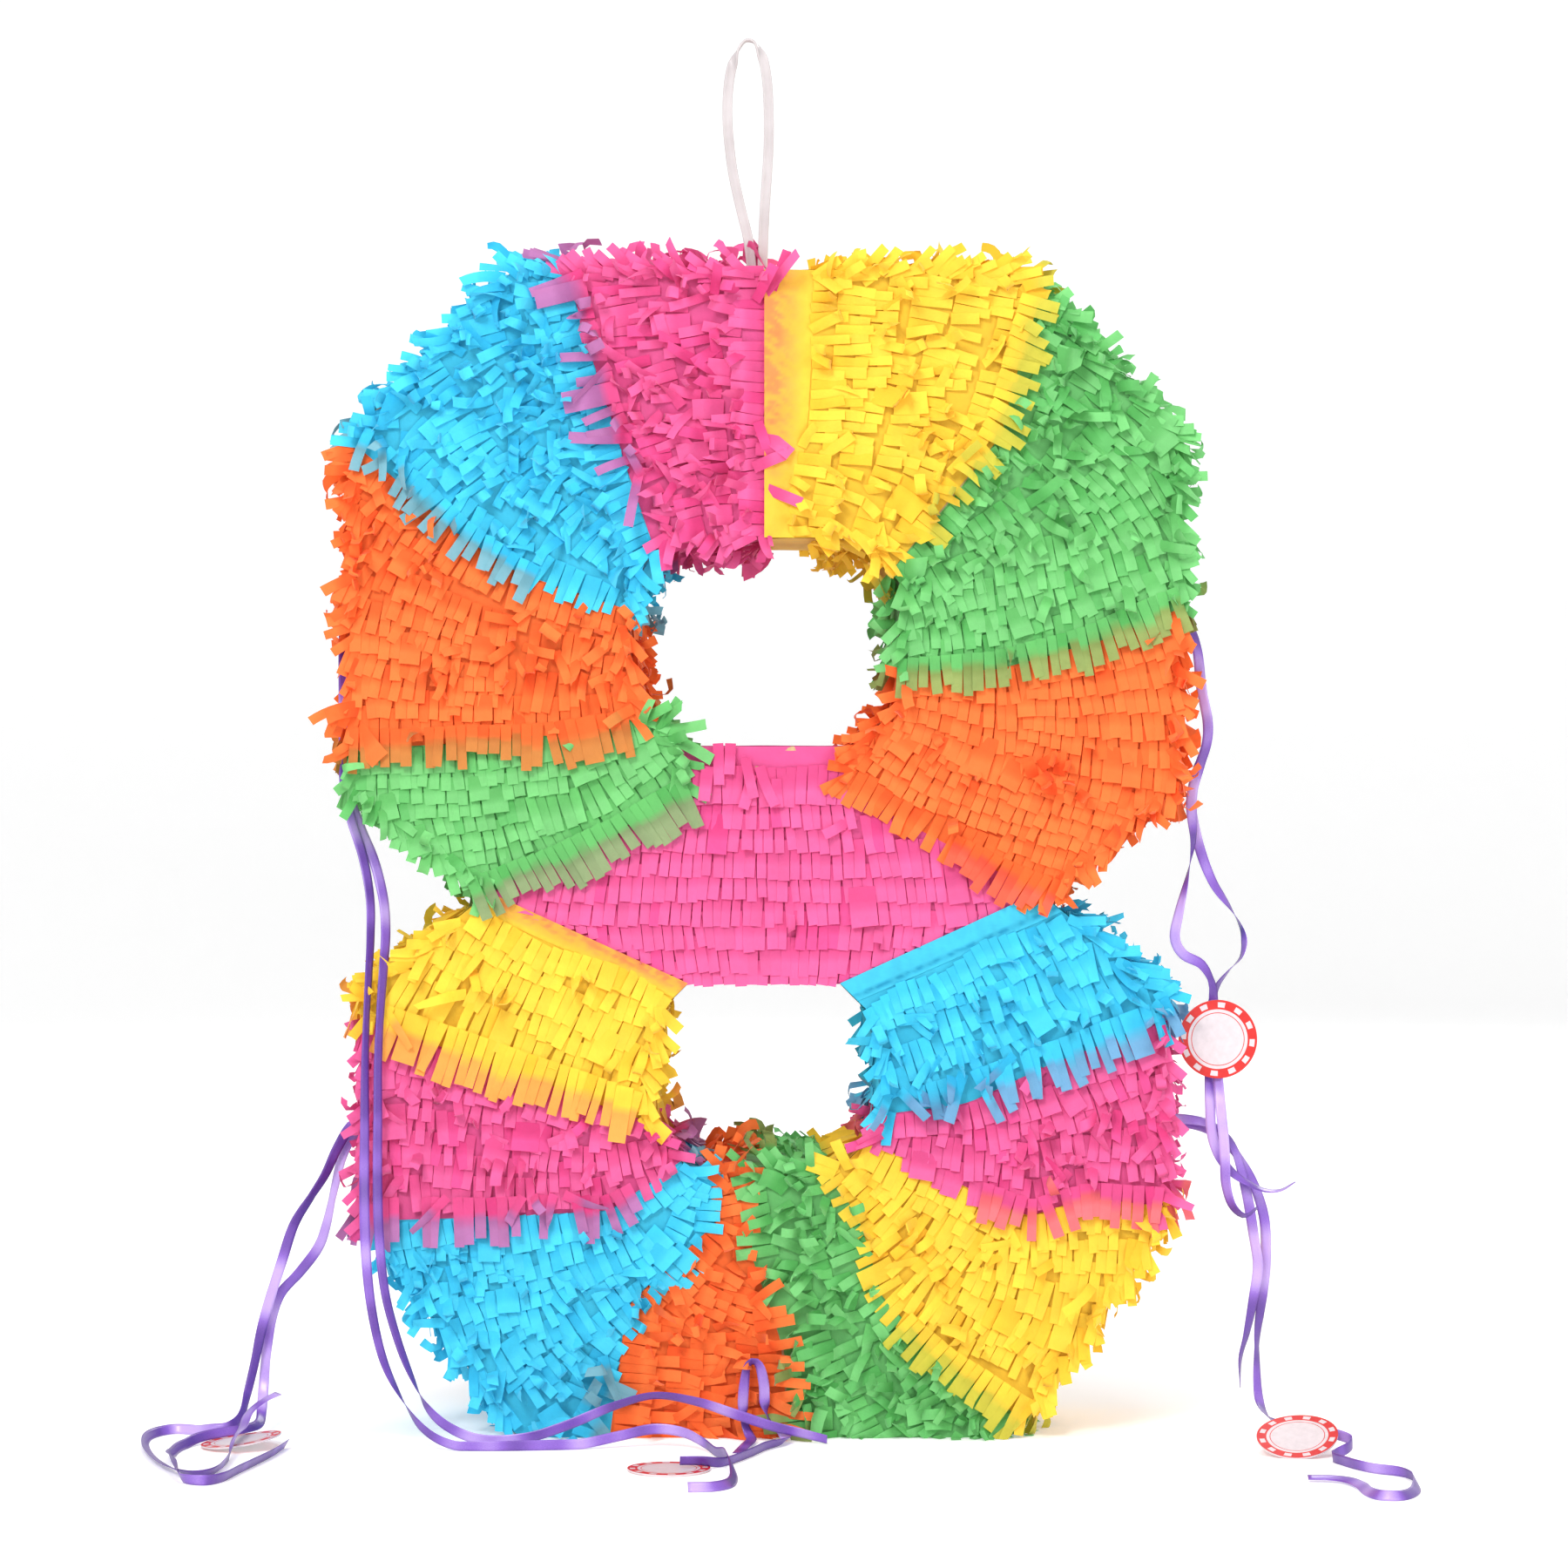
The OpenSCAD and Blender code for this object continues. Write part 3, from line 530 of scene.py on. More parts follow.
# ---------------------------------------------------------------- hanging loop
STRAP_ROUTE = [
    (-5.9, 552), (-5.9, 561), (-7.8, 577), (-11.4, 592), (-14.9, 608), (-16.9, 623), (-17.8, 638),
    (-16.9, 653), (-14.2, 664.5), (-10.5, 671.3), (-7.8, 672.8), (-4.3, 671.3),
    (-0.6, 664.0), (1.4, 653), (2.2, 638), (2.2, 623), (1.4, 608), (0.3, 592), (-0.4, 577),
    (-0.8, 561), (-0.8, 552)]
STRAP_LOW, STRAP_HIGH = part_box("hanging_strap")
STRAP_Y = (STRAP_LOW[1] + STRAP_HIGH[1]) / 2


def hanging_loop():
    """The plastic strap: flat limbs that turn edge-on over the top, with a raised edge on each side."""
    line = smooth_line(lay(np.array(STRAP_ROUTE), STRAP_Y), 1.2 * MM)[0]
    direction = unit(np.gradient(line, axis=0))
    edge_on = np.interp(np.linspace(0, 1, len(line)), [0, 0.43, 0.478, 0.51, 0.56, 1], [0, 0, 1, 1, 0, 0])
    edge_on = edge_on * edge_on * (3 - 2 * edge_on) * math.pi / 2
    across = unit(np.cross(direction, [0, 1, 0]))
    width_dir = np.cos(edge_on)[:, None] * across + np.sin(edge_on)[:, None] * np.array([0, 1, 0])
    face = unit(np.cross(direction, width_dir))
    half_w, half_t = 2.4 * MM, 0.6 * MM
    section = [(-1, -0.5), (-1, 0.5), (-0.86, 1), (-0.7, 1), (-0.6, 0.7), (0.6, 0.7), (0.7, 1), (0.86, 1),
               (1, 0.5), (1, -0.5), (0.86, -1), (-0.86, -1)]
    verts = np.stack([line + width_dir * (u * half_w) + face * (v * half_t) for u, v in section], 1)
    n, m = len(line), len(section)
    faces = [(i * m + k, (i + 1) * m + k, (i + 1) * m + (k + 1) % m, i * m + (k + 1) % m)
             for i in range(n - 1) for k in range(m)]
    faces += [tuple(range(m)), tuple((n - 1) * m + k for k in reversed(range(m)))]
    loop = link("hanging_loop", mesh_from("hanging_loop", verts, faces), NYLON)
    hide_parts("hanging_strap")
    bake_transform(loop)


hanging_loop()

# ---------------------------------------------------------------- the colour blocks
# Where two blocks meet: a line from the hole's edge to the body's outer edge, (x, z) in millimetres.
TOP_MIDDLE = [(1, 431.6), (1, 495), (1, 560)]
HIGH_RIGHT = [(65, 368), (110, 368), (156, 380), (198, 397)]
HIGH_LEFT = [(-65, 397), (-116, 414), (-145, 432), (-198, 478)]
SIDE_LEFT = [(-60, 346.6), (-100, 338), (-132, 334), (-198, 330)]
LOW_BLUE_RIGHT = [(57, 155), (97, 160), (135, 178), (191, 200)]
LOW_PINK_RIGHT = [(50, 142.5), (72, 132), (127, 106), (155, 115), (191, 111)]
LOW_YELLOW_RIGHT = [(30, 129.5), (46, 104), (57, 67), (85, 38), (124, 8.5)]
LOW_BLUE_LEFT = [(-30, 129.5), (-22, 104), (-66, 63), (-74, 0)]
LOW_PINK_LEFT = [(-40, 132.5), (-74, 109), (-120, 106), (-191, 104)]
LOW_YELLOW_LEFT = [(-57, 152), (-80, 160), (-110, 172), (-191, 200)]
# Each block is a fan of rows of fringe. A row runs from the hole's edge to the body's outer edge and
# is drawn here as a few points (x, z) in millimetres; the rows between are worked out by blending
# these. The strips of a row point on to the next row. bare is the width without fringe at the start;
# mess says how ruffled the fringe is at the start and at the end, and over is what lies past the end.
BLOCKS = [
    dict(name="top_left", colour="pink", over="blue", tail=20, mess=(0.85, 0.6), rows=[
        (0.0, TOP_MIDDLE),
        (0.8, [(-45, 431.6), (-62, 492), (-82, 560)]),
        (1.0, [(-52, 424.6), (-74, 489), (-95, 560)])]),
    dict(name="top_right", colour="yellow", over="green", bare=21, mess=(0.45, 0.5), rows=[
        (0.0, TOP_MIDDLE),
        (0.55, [(45, 431.6), (68, 490), (80, 560)]),
        (0.85, [(54, 422.6), (97, 486), (120, 560)]),
        (1.0, [(61, 415.6), (114, 481), (131, 548.9)])]),
    dict(name="shoulder_right", colour="green", over="orange", mess=(1.0, 0.3), rows=[
        (0.0, [(61, 415.6), (90, 450), (114, 481), (131, 548.9)]),
        (0.55, [(65, 411.6), (100, 425), (145, 443), (198, 481)]),
        (1.0, HIGH_RIGHT)]),
    dict(name="side_right", colour="orange", over="pink", mess=(0.12, 0.2), rows=[
        (0.0, HIGH_RIGHT),
        (0.45, [(65, 351.6), (105, 335), (150, 322), (198, 311)]),
        (0.75, [(45, 331.6), (78, 311), (115, 298), (165, 286)]),
        (1.0, [(36, 313), (68, 295), (100, 278), (132, 261)])]),
    dict(name="shoulder_left", colour="blue", over="orange", mess=(0.8, 0.55), rows=[
        (0.0, [(-52, 424.6), (-66, 465), (-80, 510), (-95, 560)]),
        (0.22, [(-57, 419.6), (-78, 455), (-98, 500), (-120, 560)]),
        (0.6, [(-62, 414.6), (-95, 438), (-125, 470), (-160, 519.5)]),
        (1.0, HIGH_LEFT)]),
    dict(name="side_left", colour="orange", over="green", mess=(0.55, 0.15), rows=[
        (0.0, HIGH_LEFT),
        (0.5, [(-65, 372), (-110, 376), (-150, 385), (-198, 400)]),
        (1.0, SIDE_LEFT)]),
    dict(name="flank_left", colour="green", over="pink", mess=(0.15, 0.12), rows=[
        (0.0, SIDE_LEFT),
        (0.3, [(-52, 338.6), (-92, 318), (-140, 312), (-198, 311)]),
        (0.65, [(-43, 331.6), (-80, 304), (-122, 291), (-165, 286)]),
        (1.0, [(-36, 312), (-68, 295), (-100, 278), (-132, 261)])]),
    dict(name="waist", colour="pink", over="pink", bare=19, tail=2, mess=(0.05, 0.08), card_edges=[
        [(-45, 331.6), (45, 331.6)], [(37, 217.5), (-37, 217.5)]], rows=[
        (0.0, [(-45, 331.6), (45, 331.6)]),
        (0.172, [(-36, 312), (36, 312)]),
        (0.619, [(-132, 261), (132, 261)]),
        (1.0, [(-37, 217.5), (37, 217.5)])]),
    dict(name="low_shoulder_right", colour="blue", over="pink", bare=18, mess=(0.3, 0.45), rows=[
        (0.0, [(37, 217.5), (132, 261)]),
        (0.35, [(50, 204.5), (150, 247)]),
        (0.7, [(57, 178), (120, 200), (178, 225)]),
        (0.82, [(57, 169), (110, 186), (191, 215)]),
        (1.0, LOW_BLUE_RIGHT)]),
    dict(name="low_side_right", colour="pink", over="yellow", mess=(0.45, 0.5), rows=[
        (0.0, LOW_BLUE_RIGHT),
        (0.4, [(56, 150), (80, 148), (127, 148), (155, 152), (191, 160)]),
        (1.0, LOW_PINK_RIGHT)]),
    dict(name="low_right", colour="yellow", over="green", mess=(0.4, 0.4), rows=[
        (0.0, LOW_PINK_RIGHT),
        (0.14, [(47, 139.5), (68, 124), (115, 97), (150, 100), (191, 104)]),
        (0.55, [(40, 132.5), (58, 108), (88, 76), (118, 62), (155, 52.7)]),
        (1.0, LOW_YELLOW_RIGHT)]),
    dict(name="low_middle_right", colour="green", over="orange", mess=(0.85, 0.75), rows=[
        (0.0, LOW_YELLOW_RIGHT),
        (0.12, [(26, 129.5), (40, 100), (50, 62), (77, 30), (118, 0)]),
        (0.6, [(8, 129.5), (20, 92), (30, 55), (45, 25), (60, 0)]),
        (1.0, [(-9, 129.5), (-5, 84), (4, 60), (10, 40), (12, 0)])]),
    dict(name="low_middle_left", colour="orange", over="orange", mess=(0.4, 0.5), rows=[
        (0.0, LOW_BLUE_LEFT),
        (0.5, [(-20, 129.5), (-14, 95), (-30, 52), (-32, 0)]),
        (1.0, [(-9, 129.5), (-5, 84), (8, 46), (12, 0)])]),
    dict(name="low_left", colour="blue", over="orange", mess=(0.35, 0.5), rows=[
        (0.0, LOW_PINK_LEFT),
        (0.4, [(-37, 129.5), (-60, 94), (-105, 72), (-160, 59.8)]),
        (0.85, [(-32, 129.5), (-36, 90), (-80, 45), (-118, 0)]),
        (1.0, LOW_BLUE_LEFT)]),
    dict(name="low_side_left", colour="pink", over="blue", mess=(0.4, 0.4), rows=[
        (0.0, LOW_YELLOW_LEFT),
        (0.35, [(-54, 147), (-80, 148), (-125, 156), (-191, 164)]),
        (0.6, [(-49, 141.5), (-80, 134), (-125, 137), (-191, 142)]),
        (1.0, LOW_PINK_LEFT)]),
    dict(name="low_shoulder_left", colour="yellow", over="pink", bare=14, mess=(0.2, 0.3), rows=[
        (0.0, [(-37, 217.5), (-132, 261)]),
        (0.35, [(-50, 204.5), (-150, 247)]),
        (0.7, [(-57, 178), (-172, 230)]),
        (0.82, [(-57, 169), (-110, 190), (-191, 215)]),
        (1.0, LOW_YELLOW_LEFT)]),
]
ROW_PITCH = 11.8
STRIP_W = 5.2
SHEET_GAP = 0.5
# The waist block's last row, which its strips don't pass.
WAIST_LOW_Z = 217.5
RINGS = 7


def resample(points, count):
    """A polyline as count points, evenly along it, that keeps its ends."""
    along = run_of(np.asarray(points, float))
    return read_at(np.linspace(0, along[-1], count), along, points)


class Block:
    """A block of fringe: a surface of rows, with t from its first row to its last and s from the hole's
    edge (end 0) to the outer edge (end -1), which are the two edges where it turns onto the sides."""

    bare = 0
    tail = 10

    def __init__(self, spec, index):
        self.__dict__.update(spec)
        self.index = index
        self.stops = [t for t, _ in self.rows]
        self.lines = [resample(points, 24) for _, points in self.rows]
        # How far the block runs, where it runs farthest.
        self.span = max(run_of(self.grid(40, 25)[:, s])[-1] for s in (0, 12, -1))

    def row(self, t, count=24):
        """The row at t as count points."""
        t = min(max(t, 0.0), 1.0)
        k = max(i for i in range(len(self.stops)) if self.stops[i] <= t)
        if k == len(self.stops) - 1:
            return resample(self.lines[k], count)
        share = (t - self.stops[k]) / (self.stops[k + 1] - self.stops[k])
        return resample(self.lines[k] * (1 - share) + self.lines[k + 1] * share, count)

    def grid(self, rows, columns):
        return np.array([self.row(t, columns) for t in np.linspace(0, 1, rows)])

    def ruffle(self, share):
        return self.mess[0] * (1 - share) + self.mess[1] * share


blocks = [Block(spec, i) for i, spec in enumerate(BLOCKS)]


# ---------------------------------------------------------------- the fringe strips
class Strips:
    """Collects the strips of one piece and makes them into one mesh."""

    def __init__(self):
        self.parts = []

    def add(self, **values):
        self.parts.append(values)

    def mesh(self, name):
        return strip_mesh(name, **{k: np.concatenate([p[k] for p in self.parts]) for k in self.parts[0]})


def strip_mesh(name, base, along, ahead, up, width, length, lift, curl, yaw, sway, roll, twist,
               fold_at, fold, floor, tint, under, under_from, depth):
    """One paper strip per row of the arrays, three points wide and RINGS long, bent along its length."""
    n = len(base)
    centre = np.zeros((n, RINGS, 3))
    wide = np.zeros((n, RINGS, 3))
    centre[:, 0] = base
    step = length / (RINGS - 1)
    for k in range(RINGS):
        s = k / (RINGS - 1)
        rise = lift + curl * s + fold * np.clip((s - fold_at) * 5, 0, 1)
        turn = yaw + sway * s
        flat = np.cos(turn)[:, None] * ahead + np.sin(turn)[:, None] * along
        side = -np.sin(turn)[:, None] * ahead + np.cos(turn)[:, None] * along
        heading = np.cos(rise)[:, None] * flat + np.sin(rise)[:, None] * up
        lean = roll + twist * s
        wide[:, k] = np.cos(lean)[:, None] * side + np.sin(lean)[:, None] * np.cross(side, heading)
        if k < RINGS - 1:
            centre[:, k + 1] = centre[:, k] + heading * step[:, None]
    # Nothing goes below the surface that it is glued to, or far off it.
    height = np.einsum("nkj,nj->nk", centre - base[:, None], up)
    needed = (floor + 0.25 * width)[:, None] * np.linspace(0.35, 1, RINGS)
    centre += (np.clip(height, needed, 12.5 * MM) - height)[..., None] * up[:, None]
    face = unit(np.cross(np.gradient(centre, axis=1), wide))
    cup = np.sign(np.einsum("nkj,nj->nk", face, up))[..., None] * face
    half = 0.5 * width[:, None, None] * wide
    bow = 0.07 * width[:, None, None] * cup
    verts = np.stack([centre - half, centre + bow, centre + half], 2)
    verts[..., 2] = np.maximum(verts[..., 2], 0.2 * MM)
    faces = (np.arange(n)[:, None, None] * RINGS * 3 + grid_faces(RINGS, 3)).reshape(-1, 4)
    s = np.linspace(0, 1, RINGS)[None, :]
    mixed = np.clip((s - under_from[:, None]) * 12, 0, 1)[..., None]
    colour = tint[:, None] * (1 - mixed) + under[:, None] * mixed
    # Painted shade: the part that the row before covers is darkened and made more saturated, standing in for
    # its shadow.
    shaded = (depth[:, None] * np.clip((0.66 - s) * 4, 0, 1))[..., None]
    colour = colour * (1 - shaded) + 0.86 * colour**1.3 * shaded
    return mesh_from(name, verts, faces, np.repeat(colour[:, :, None], 3, axis=2).reshape(-1, 3))


def strips_on_row(bag, rng, block, line, ahead, up, mess, pitch, last, reach=1.0, keep=None, spread=0.0,
                  limit=None):
    """Lays one row of strips along a line of points (metres), each pointing ahead off the surface.
    mess is how ruffled they are, from 0 to 1, and spread turns them about their own length too."""
    along_line = run_of(line)
    total = along_line[-1]
    places, widths = [], []
    at = rng.uniform(-1, 1) * MM
    while at < total:
        w = STRIP_W * rng.uniform(0.86, 1.12)
        if rng.random() < 0.035:
            w *= rng.choice([1.8, 2.0, 2.3])
        places.append(at + 0.5 * w * MM)
        widths.append(w - rng.uniform(0.1, 0.45))
        at += w * MM
    places, widths = np.array(places), np.array(widths)
    shown = places < total + 0.5 * MM
    places = np.minimum(places, total)
    if keep is not None:
        shown &= np.interp(places, along_line, keep) > 0.5
    # Neighbours share their disorder in tufts of a few strips, and here and there a few are missing.
    tuft = np.cumsum(rng.random(len(places)) < 0.4)
    mood = rng.random(tuft[-1] + 1)
    rough = np.clip(np.interp(places, along_line, mess) + rng.normal(0, 0.06, len(places)), 0.0, 1)
    shown &= ~((rng.random(tuft[-1] + 1) < 0.05)[tuft] & (rough > 0.35))
    places, widths, tuft, rough = places[shown], widths[shown], tuft[shown], rough[shown]
    n = len(places)
    if n == 0:
        return
    base = read_at(places, along_line, line)
    forward, normal = unit(read_at(places, along_line, ahead)), unit(read_at(places, along_line, up))
    tangent = unit(read_at(places, along_line, np.gradient(line, axis=0)))
    tangent = unit(tangent - forward * np.sum(tangent * forward, 1, keepdims=True))
    local_pitch = np.interp(places, along_line, pitch)
    lot = 0.6 * mood[tuft] + 0.4 * rng.random(n)
    flat = lot > 0.78 * rough
    kind = rng.random(n)
    crumpled = ~flat & (kind < 0.45)
    crossed = ~flat & (kind >= 0.45) & (kind < 0.68)
    hooked = ~flat & (kind >= 0.68)
    lean = rng.normal(0, 1, tuft[-1] + 1)[tuft]
    sign = rng.choice([-1, 1], n)
    # Lengths in millimetres and angles in degrees: a calm strip's, more for a rough one, and its kind's.
    length = (local_pitch * 1.42 + 2.2 + rng.normal(0, 0.35 + 1.5 * rough, n)) * reach
    length = np.where(flat, length, length * rng.uniform(0.8, 1.25, n))
    lift = rng.uniform(3.5, 6.5, n) + 9 * rough * rng.random(n)
    lift = np.where(crumpled, rng.uniform(15, 75, n), lift)
    lift = np.where(crossed, rng.uniform(8, 26, n), lift)
    lift = np.where(hooked, rng.uniform(10, 40, n), lift)
    curl = rng.normal(-2, 3, n) + rough * rng.normal(0, 14, n)
    curl = np.where(crumpled, rng.normal(-20, 80, n), curl)
    curl = np.where(hooked, sign * rng.uniform(0, 90, n), curl)
    yaw = 1.3 * lean + rng.normal(0, 1.2, n) + rough * (7 * lean + rng.normal(0, 7, n))
    yaw = np.where(crumpled, yaw + rng.normal(0, 26, n), yaw)
    yaw = np.where(crossed, yaw + sign * rng.uniform(30, 85, n), yaw)
    sway = rng.normal(0, 1.5, n) + rough * rng.normal(0, 10, n) + ~flat * rng.normal(0, 20, n)
    roll = rng.normal(0, 4.5, n) + rough * rng.normal(0, 7, n) + ~flat * rng.normal(0, 14, n)
    roll = roll + spread * rng.normal(0, 34, n)
    twist = rng.normal(0, 2, n) + rough * rng.normal(0, 12, n) + ~flat * rng.normal(0, 45, n)
    twist = twist + spread * rng.normal(0, 60, n)
    fold_at = rng.uniform(0.3, 0.65, n)
    fold = np.where(hooked, rng.uniform(60, 150, n), 0) + np.where(crumpled, -sign * rng.uniform(0, 80, n), 0)
    fold = np.where(flat & (rng.random(n) < 0.04), rng.uniform(-30, 60, n), fold)
    lift = lift + spread * rng.uniform(0, 26, n)
    floor = (0.5 + 0.5 * rng.random(n) + 0.8 * ~flat) * MM
    own, deep = PAPER[block.colour], DEEP[block.colour]
    shade = np.clip(rng.normal(0, 0.6, n), -1.2, 1.2)[:, None]
    tint = own * (1 + 0.07 * shade)
    # Painted shade: some strips, more of them where the fringe is ruffled, take half of the paper's deeper
    # shade colour.
    some = (rng.random(n) < 0.05 + 0.22 * rough)[:, None]
    tint = np.where(some, 0.5 * own + 0.5 * deep, tint)
    under = tint
    under_from = np.full(n, 2.0)
    if last:
        below = over(own, PAPER[block.over]) if block.over != block.colour else own
        under = below * (1 + 0.07 * shade)
        under_from = np.clip(local_pitch / (length + block.tail), 0.2, 0.8) + rng.uniform(-0.12, 0.08, n)
        length = length + block.tail * rng.uniform(0.35, 1.1, n) - 3
        if block.name != "waist":
            base = base + normal * 2.2 * MM
            floor = floor + 1.4 * MM
    if limit is not None:
        length = np.minimum(length, np.interp(places, along_line, limit) + rng.uniform(0, 1.5, n))
    bag.add(base=base + normal * 0.3 * MM, along=tangent, ahead=forward, up=normal, width=widths * MM,
            length=length * MM, lift=np.radians(lift), curl=np.radians(curl), yaw=np.radians(yaw),
            sway=np.radians(sway), roll=np.radians(roll), twist=np.radians(twist), fold_at=fold_at,
            fold=np.radians(fold), floor=floor, tint=tint, under=np.array(under), under_from=under_from,
            depth=np.full(n, SHADING[block.colour]))


def face_rows(block, bag, seed, y, facing, inside=None):
    """The rows of one block on the front (facing -1) or the back (facing 1) of the body."""
    rng = np.random.default_rng(seed)
    columns = 40
    count = max(3, round((block.span - block.bare) / ROW_PITCH))
    first = block.bare / block.span
    for i, t in enumerate(first + (1 - first) * (np.arange(count) + 0.05) / count):
        flat = block.row(t, columns)
        ahead_t, behind_t = min(t + 0.5 / count, 1.0), max(t - 0.5 / count, 0.0)
        forth = block.row(ahead_t, columns) - block.row(behind_t, columns)
        ahead = unit(forth)
        step = np.linalg.norm(forth, axis=1)
        tangent = unit(np.gradient(flat, axis=0))
        square = np.stack([-tangent[:, 1], tangent[:, 0]], 1)
        square *= np.sign(np.sum(square * ahead, 1))[:, None]
        local_pitch = (np.abs(np.sum(ahead * square, 1)) * step / max(ahead_t - behind_t, 1e-6)
                       / count * (1 - first))
        ragged = 2.2 if i == 0 and block.bare and block.name != "waist" else 0.5
        flat = flat + square * np.interp(np.arange(columns), np.arange(0, columns + 8, 8),
                                         rng.normal(0, ragged, columns // 8 + 1))[:, None]
        line = lay(flat, y + facing * SHEET_GAP * MM)
        mess = block.ruffle((t - first) / (1 - first))
        mess = mess + 1.6 * np.clip(np.abs(np.linspace(0, 1, columns) - 0.5) - 0.4, 0, 1)
        if i == 0 and not block.bare:
            mess = 0.4 * mess
        # Where the rows of a fan crowd together, some of them stop.
        keep = np.ones(columns)
        if i % 2 == 1:
            keep = (local_pitch > 6.5).astype(float)
        if i % 4 == 2:
            keep = (local_pitch > 3.2).astype(float)
        if inside is not None:
            keep = keep * inside(line)
        pitch = np.clip(np.where(local_pitch < 6.5, local_pitch * 2, local_pitch), 7, 14)
        limit = None
        if block.name == "waist":
            limit = flat[:, 1] - WAIST_LOW_Z - np.clip(np.abs(flat[:, 0]) - 37, 0, 200) * 0.458
        strips_on_row(bag, rng, block, line, aim(unit(0.2 * ahead + square)),
                      np.broadcast_to([0, facing, 0.0], line.shape), mess, pitch,
                      last=i >= count - 1, keep=keep, limit=limit)


def edge_tufts(block, bag, seed, y, facing, inside=None):
    """Strips along the block's two card edges that lean out past them."""
    if block.name == "waist":
        return
    rng = np.random.default_rng(seed)
    for end, inner_end, back in ((0, 1, 0), (-1, -2, 10)):
        rows = block.grid(60, 9)
        rail, inner = rows[:, end], rows[:, inner_end]
        along = run_of(rail)
        if along[-1] < block.bare + 8:
            continue
        places = np.arange(block.bare + 2, along[-1] - 1, 3.4)
        edge = read_at(places, along, rail)
        ahead = unit(read_at(places, along, np.gradient(rail, axis=0)))
        out = unit(edge - read_at(places, along, inner))
        start = edge - out * rng.uniform(1, 4, len(places))[:, None]
        turn = np.radians(rng.uniform(15, 70, len(places)) - back)[:, None]
        way = aim(unit(np.cos(turn) * ahead + np.sin(turn) * out))
        clear_of_floor = start[:, 1] > 14
        for point, heading in zip(lay(start, y + facing * 1.2 * MM)[clear_of_floor], way[clear_of_floor]):
            side = np.array([-heading[2], 0, heading[0]])
            line = point + side * np.array([[-2], [0], [2]]) * MM
            if inside is not None and inside(line)[1] < 0.5:
                continue
            strips_on_row(bag, rng, block, line, np.broadcast_to(heading, (3, 3)),
                          np.broadcast_to([0.0, facing, 0], (3, 3)), np.full(3, 0.55), np.full(3, 9.0),
                          last=False, spread=0.25)


def outward_of(point, ahead, end):
    """The direction square to an edge that points away from the card."""
    side = np.array([-ahead[1], ahead[0]])
    if end == 0:
        away = np.array([0, 381.6 if point[1] > 274 else 173.5]) - point
    else:
        away = point - np.array([0, 396.0 if point[1] > 261 else 160.0])
    return side * np.sign(np.dot(side, away))


def edge_rows(block, bag, seed, end, depth):
    """The rows of one block on the outer walls (end -1) or round the hole's rim (end 0)."""
    rail = block.grid(200, 5)[:, end]
    along = run_of(rail)
    if block.name == "waist" or along[-1] < 6:
        return
    rng = np.random.default_rng(seed)
    columns = 12
    count = max(1, round((along[-1] - block.bare) / ROW_PITCH))
    places = block.bare + (along[-1] - block.bare) * (np.arange(count) + 0.05) / count
    for i, place in enumerate(places):
        point = read_at(place, along, rail)
        if point[1] < 5:
            continue
        ahead = unit(read_at(min(place + 1.5, along[-1]), along, rail)
                     - read_at(max(place - 1.5, 0), along, rail))
        outward = outward_of(rail[min(np.searchsorted(along, place), len(rail) - 1)], ahead, end)
        line = lay(np.tile(point + outward * SHEET_GAP, (columns, 1)), np.linspace(*depth, columns))
        mess = np.full(columns, 0.25 + 0.6 * block.ruffle(i / max(count - 1, 1)))
        strips_on_row(bag, rng, block, line, np.broadcast_to(aim(ahead), line.shape),
                      np.broadcast_to(aim(outward), line.shape), mess, np.full(columns, 11.0),
                      last=i >= count - 1, reach=0.85 if end == 0 else 0.95, spread=0.6)


def loose(bag, block, seed, strips):
    """Single strips laid one by one on the front: x, z (mm), the way they point (degrees), length (mm), lift,
    curl and width (mm)."""
    rng = np.random.default_rng(seed)
    for x, z, way, length, lift, curl, width in strips:
        a = math.radians(way)
        own = PAPER[block.colour] * (1 + rng.uniform(-0.06, 0.04))
        # Painted shade: a strip lifted 30 degrees or more takes half of the paper's deeper shade colour.
        tone = own if lift < 30 else 0.5 * own + 0.5 * DEEP[block.colour]
        strip = dict(
            base=(x * MM, FRONT_Y - 2.6 * MM, z * MM), along=(-math.sin(a), 0, math.cos(a)),
            ahead=(math.cos(a), 0, math.sin(a)), up=(0, -1, 0), width=width * MM, length=length * MM,
            lift=math.radians(lift), curl=math.radians(curl), yaw=0, sway=rng.normal(0, 0.1),
            roll=rng.normal(0, 0.15), twist=rng.normal(0, 0.3), fold_at=0.5, fold=rng.normal(0, 0.4),
            floor=0.6 * MM, tint=tone, under=tone, under_from=2, depth=SHADING[block.colour])
        bag.add(**{key: np.array([value], float) for key, value in strip.items()})


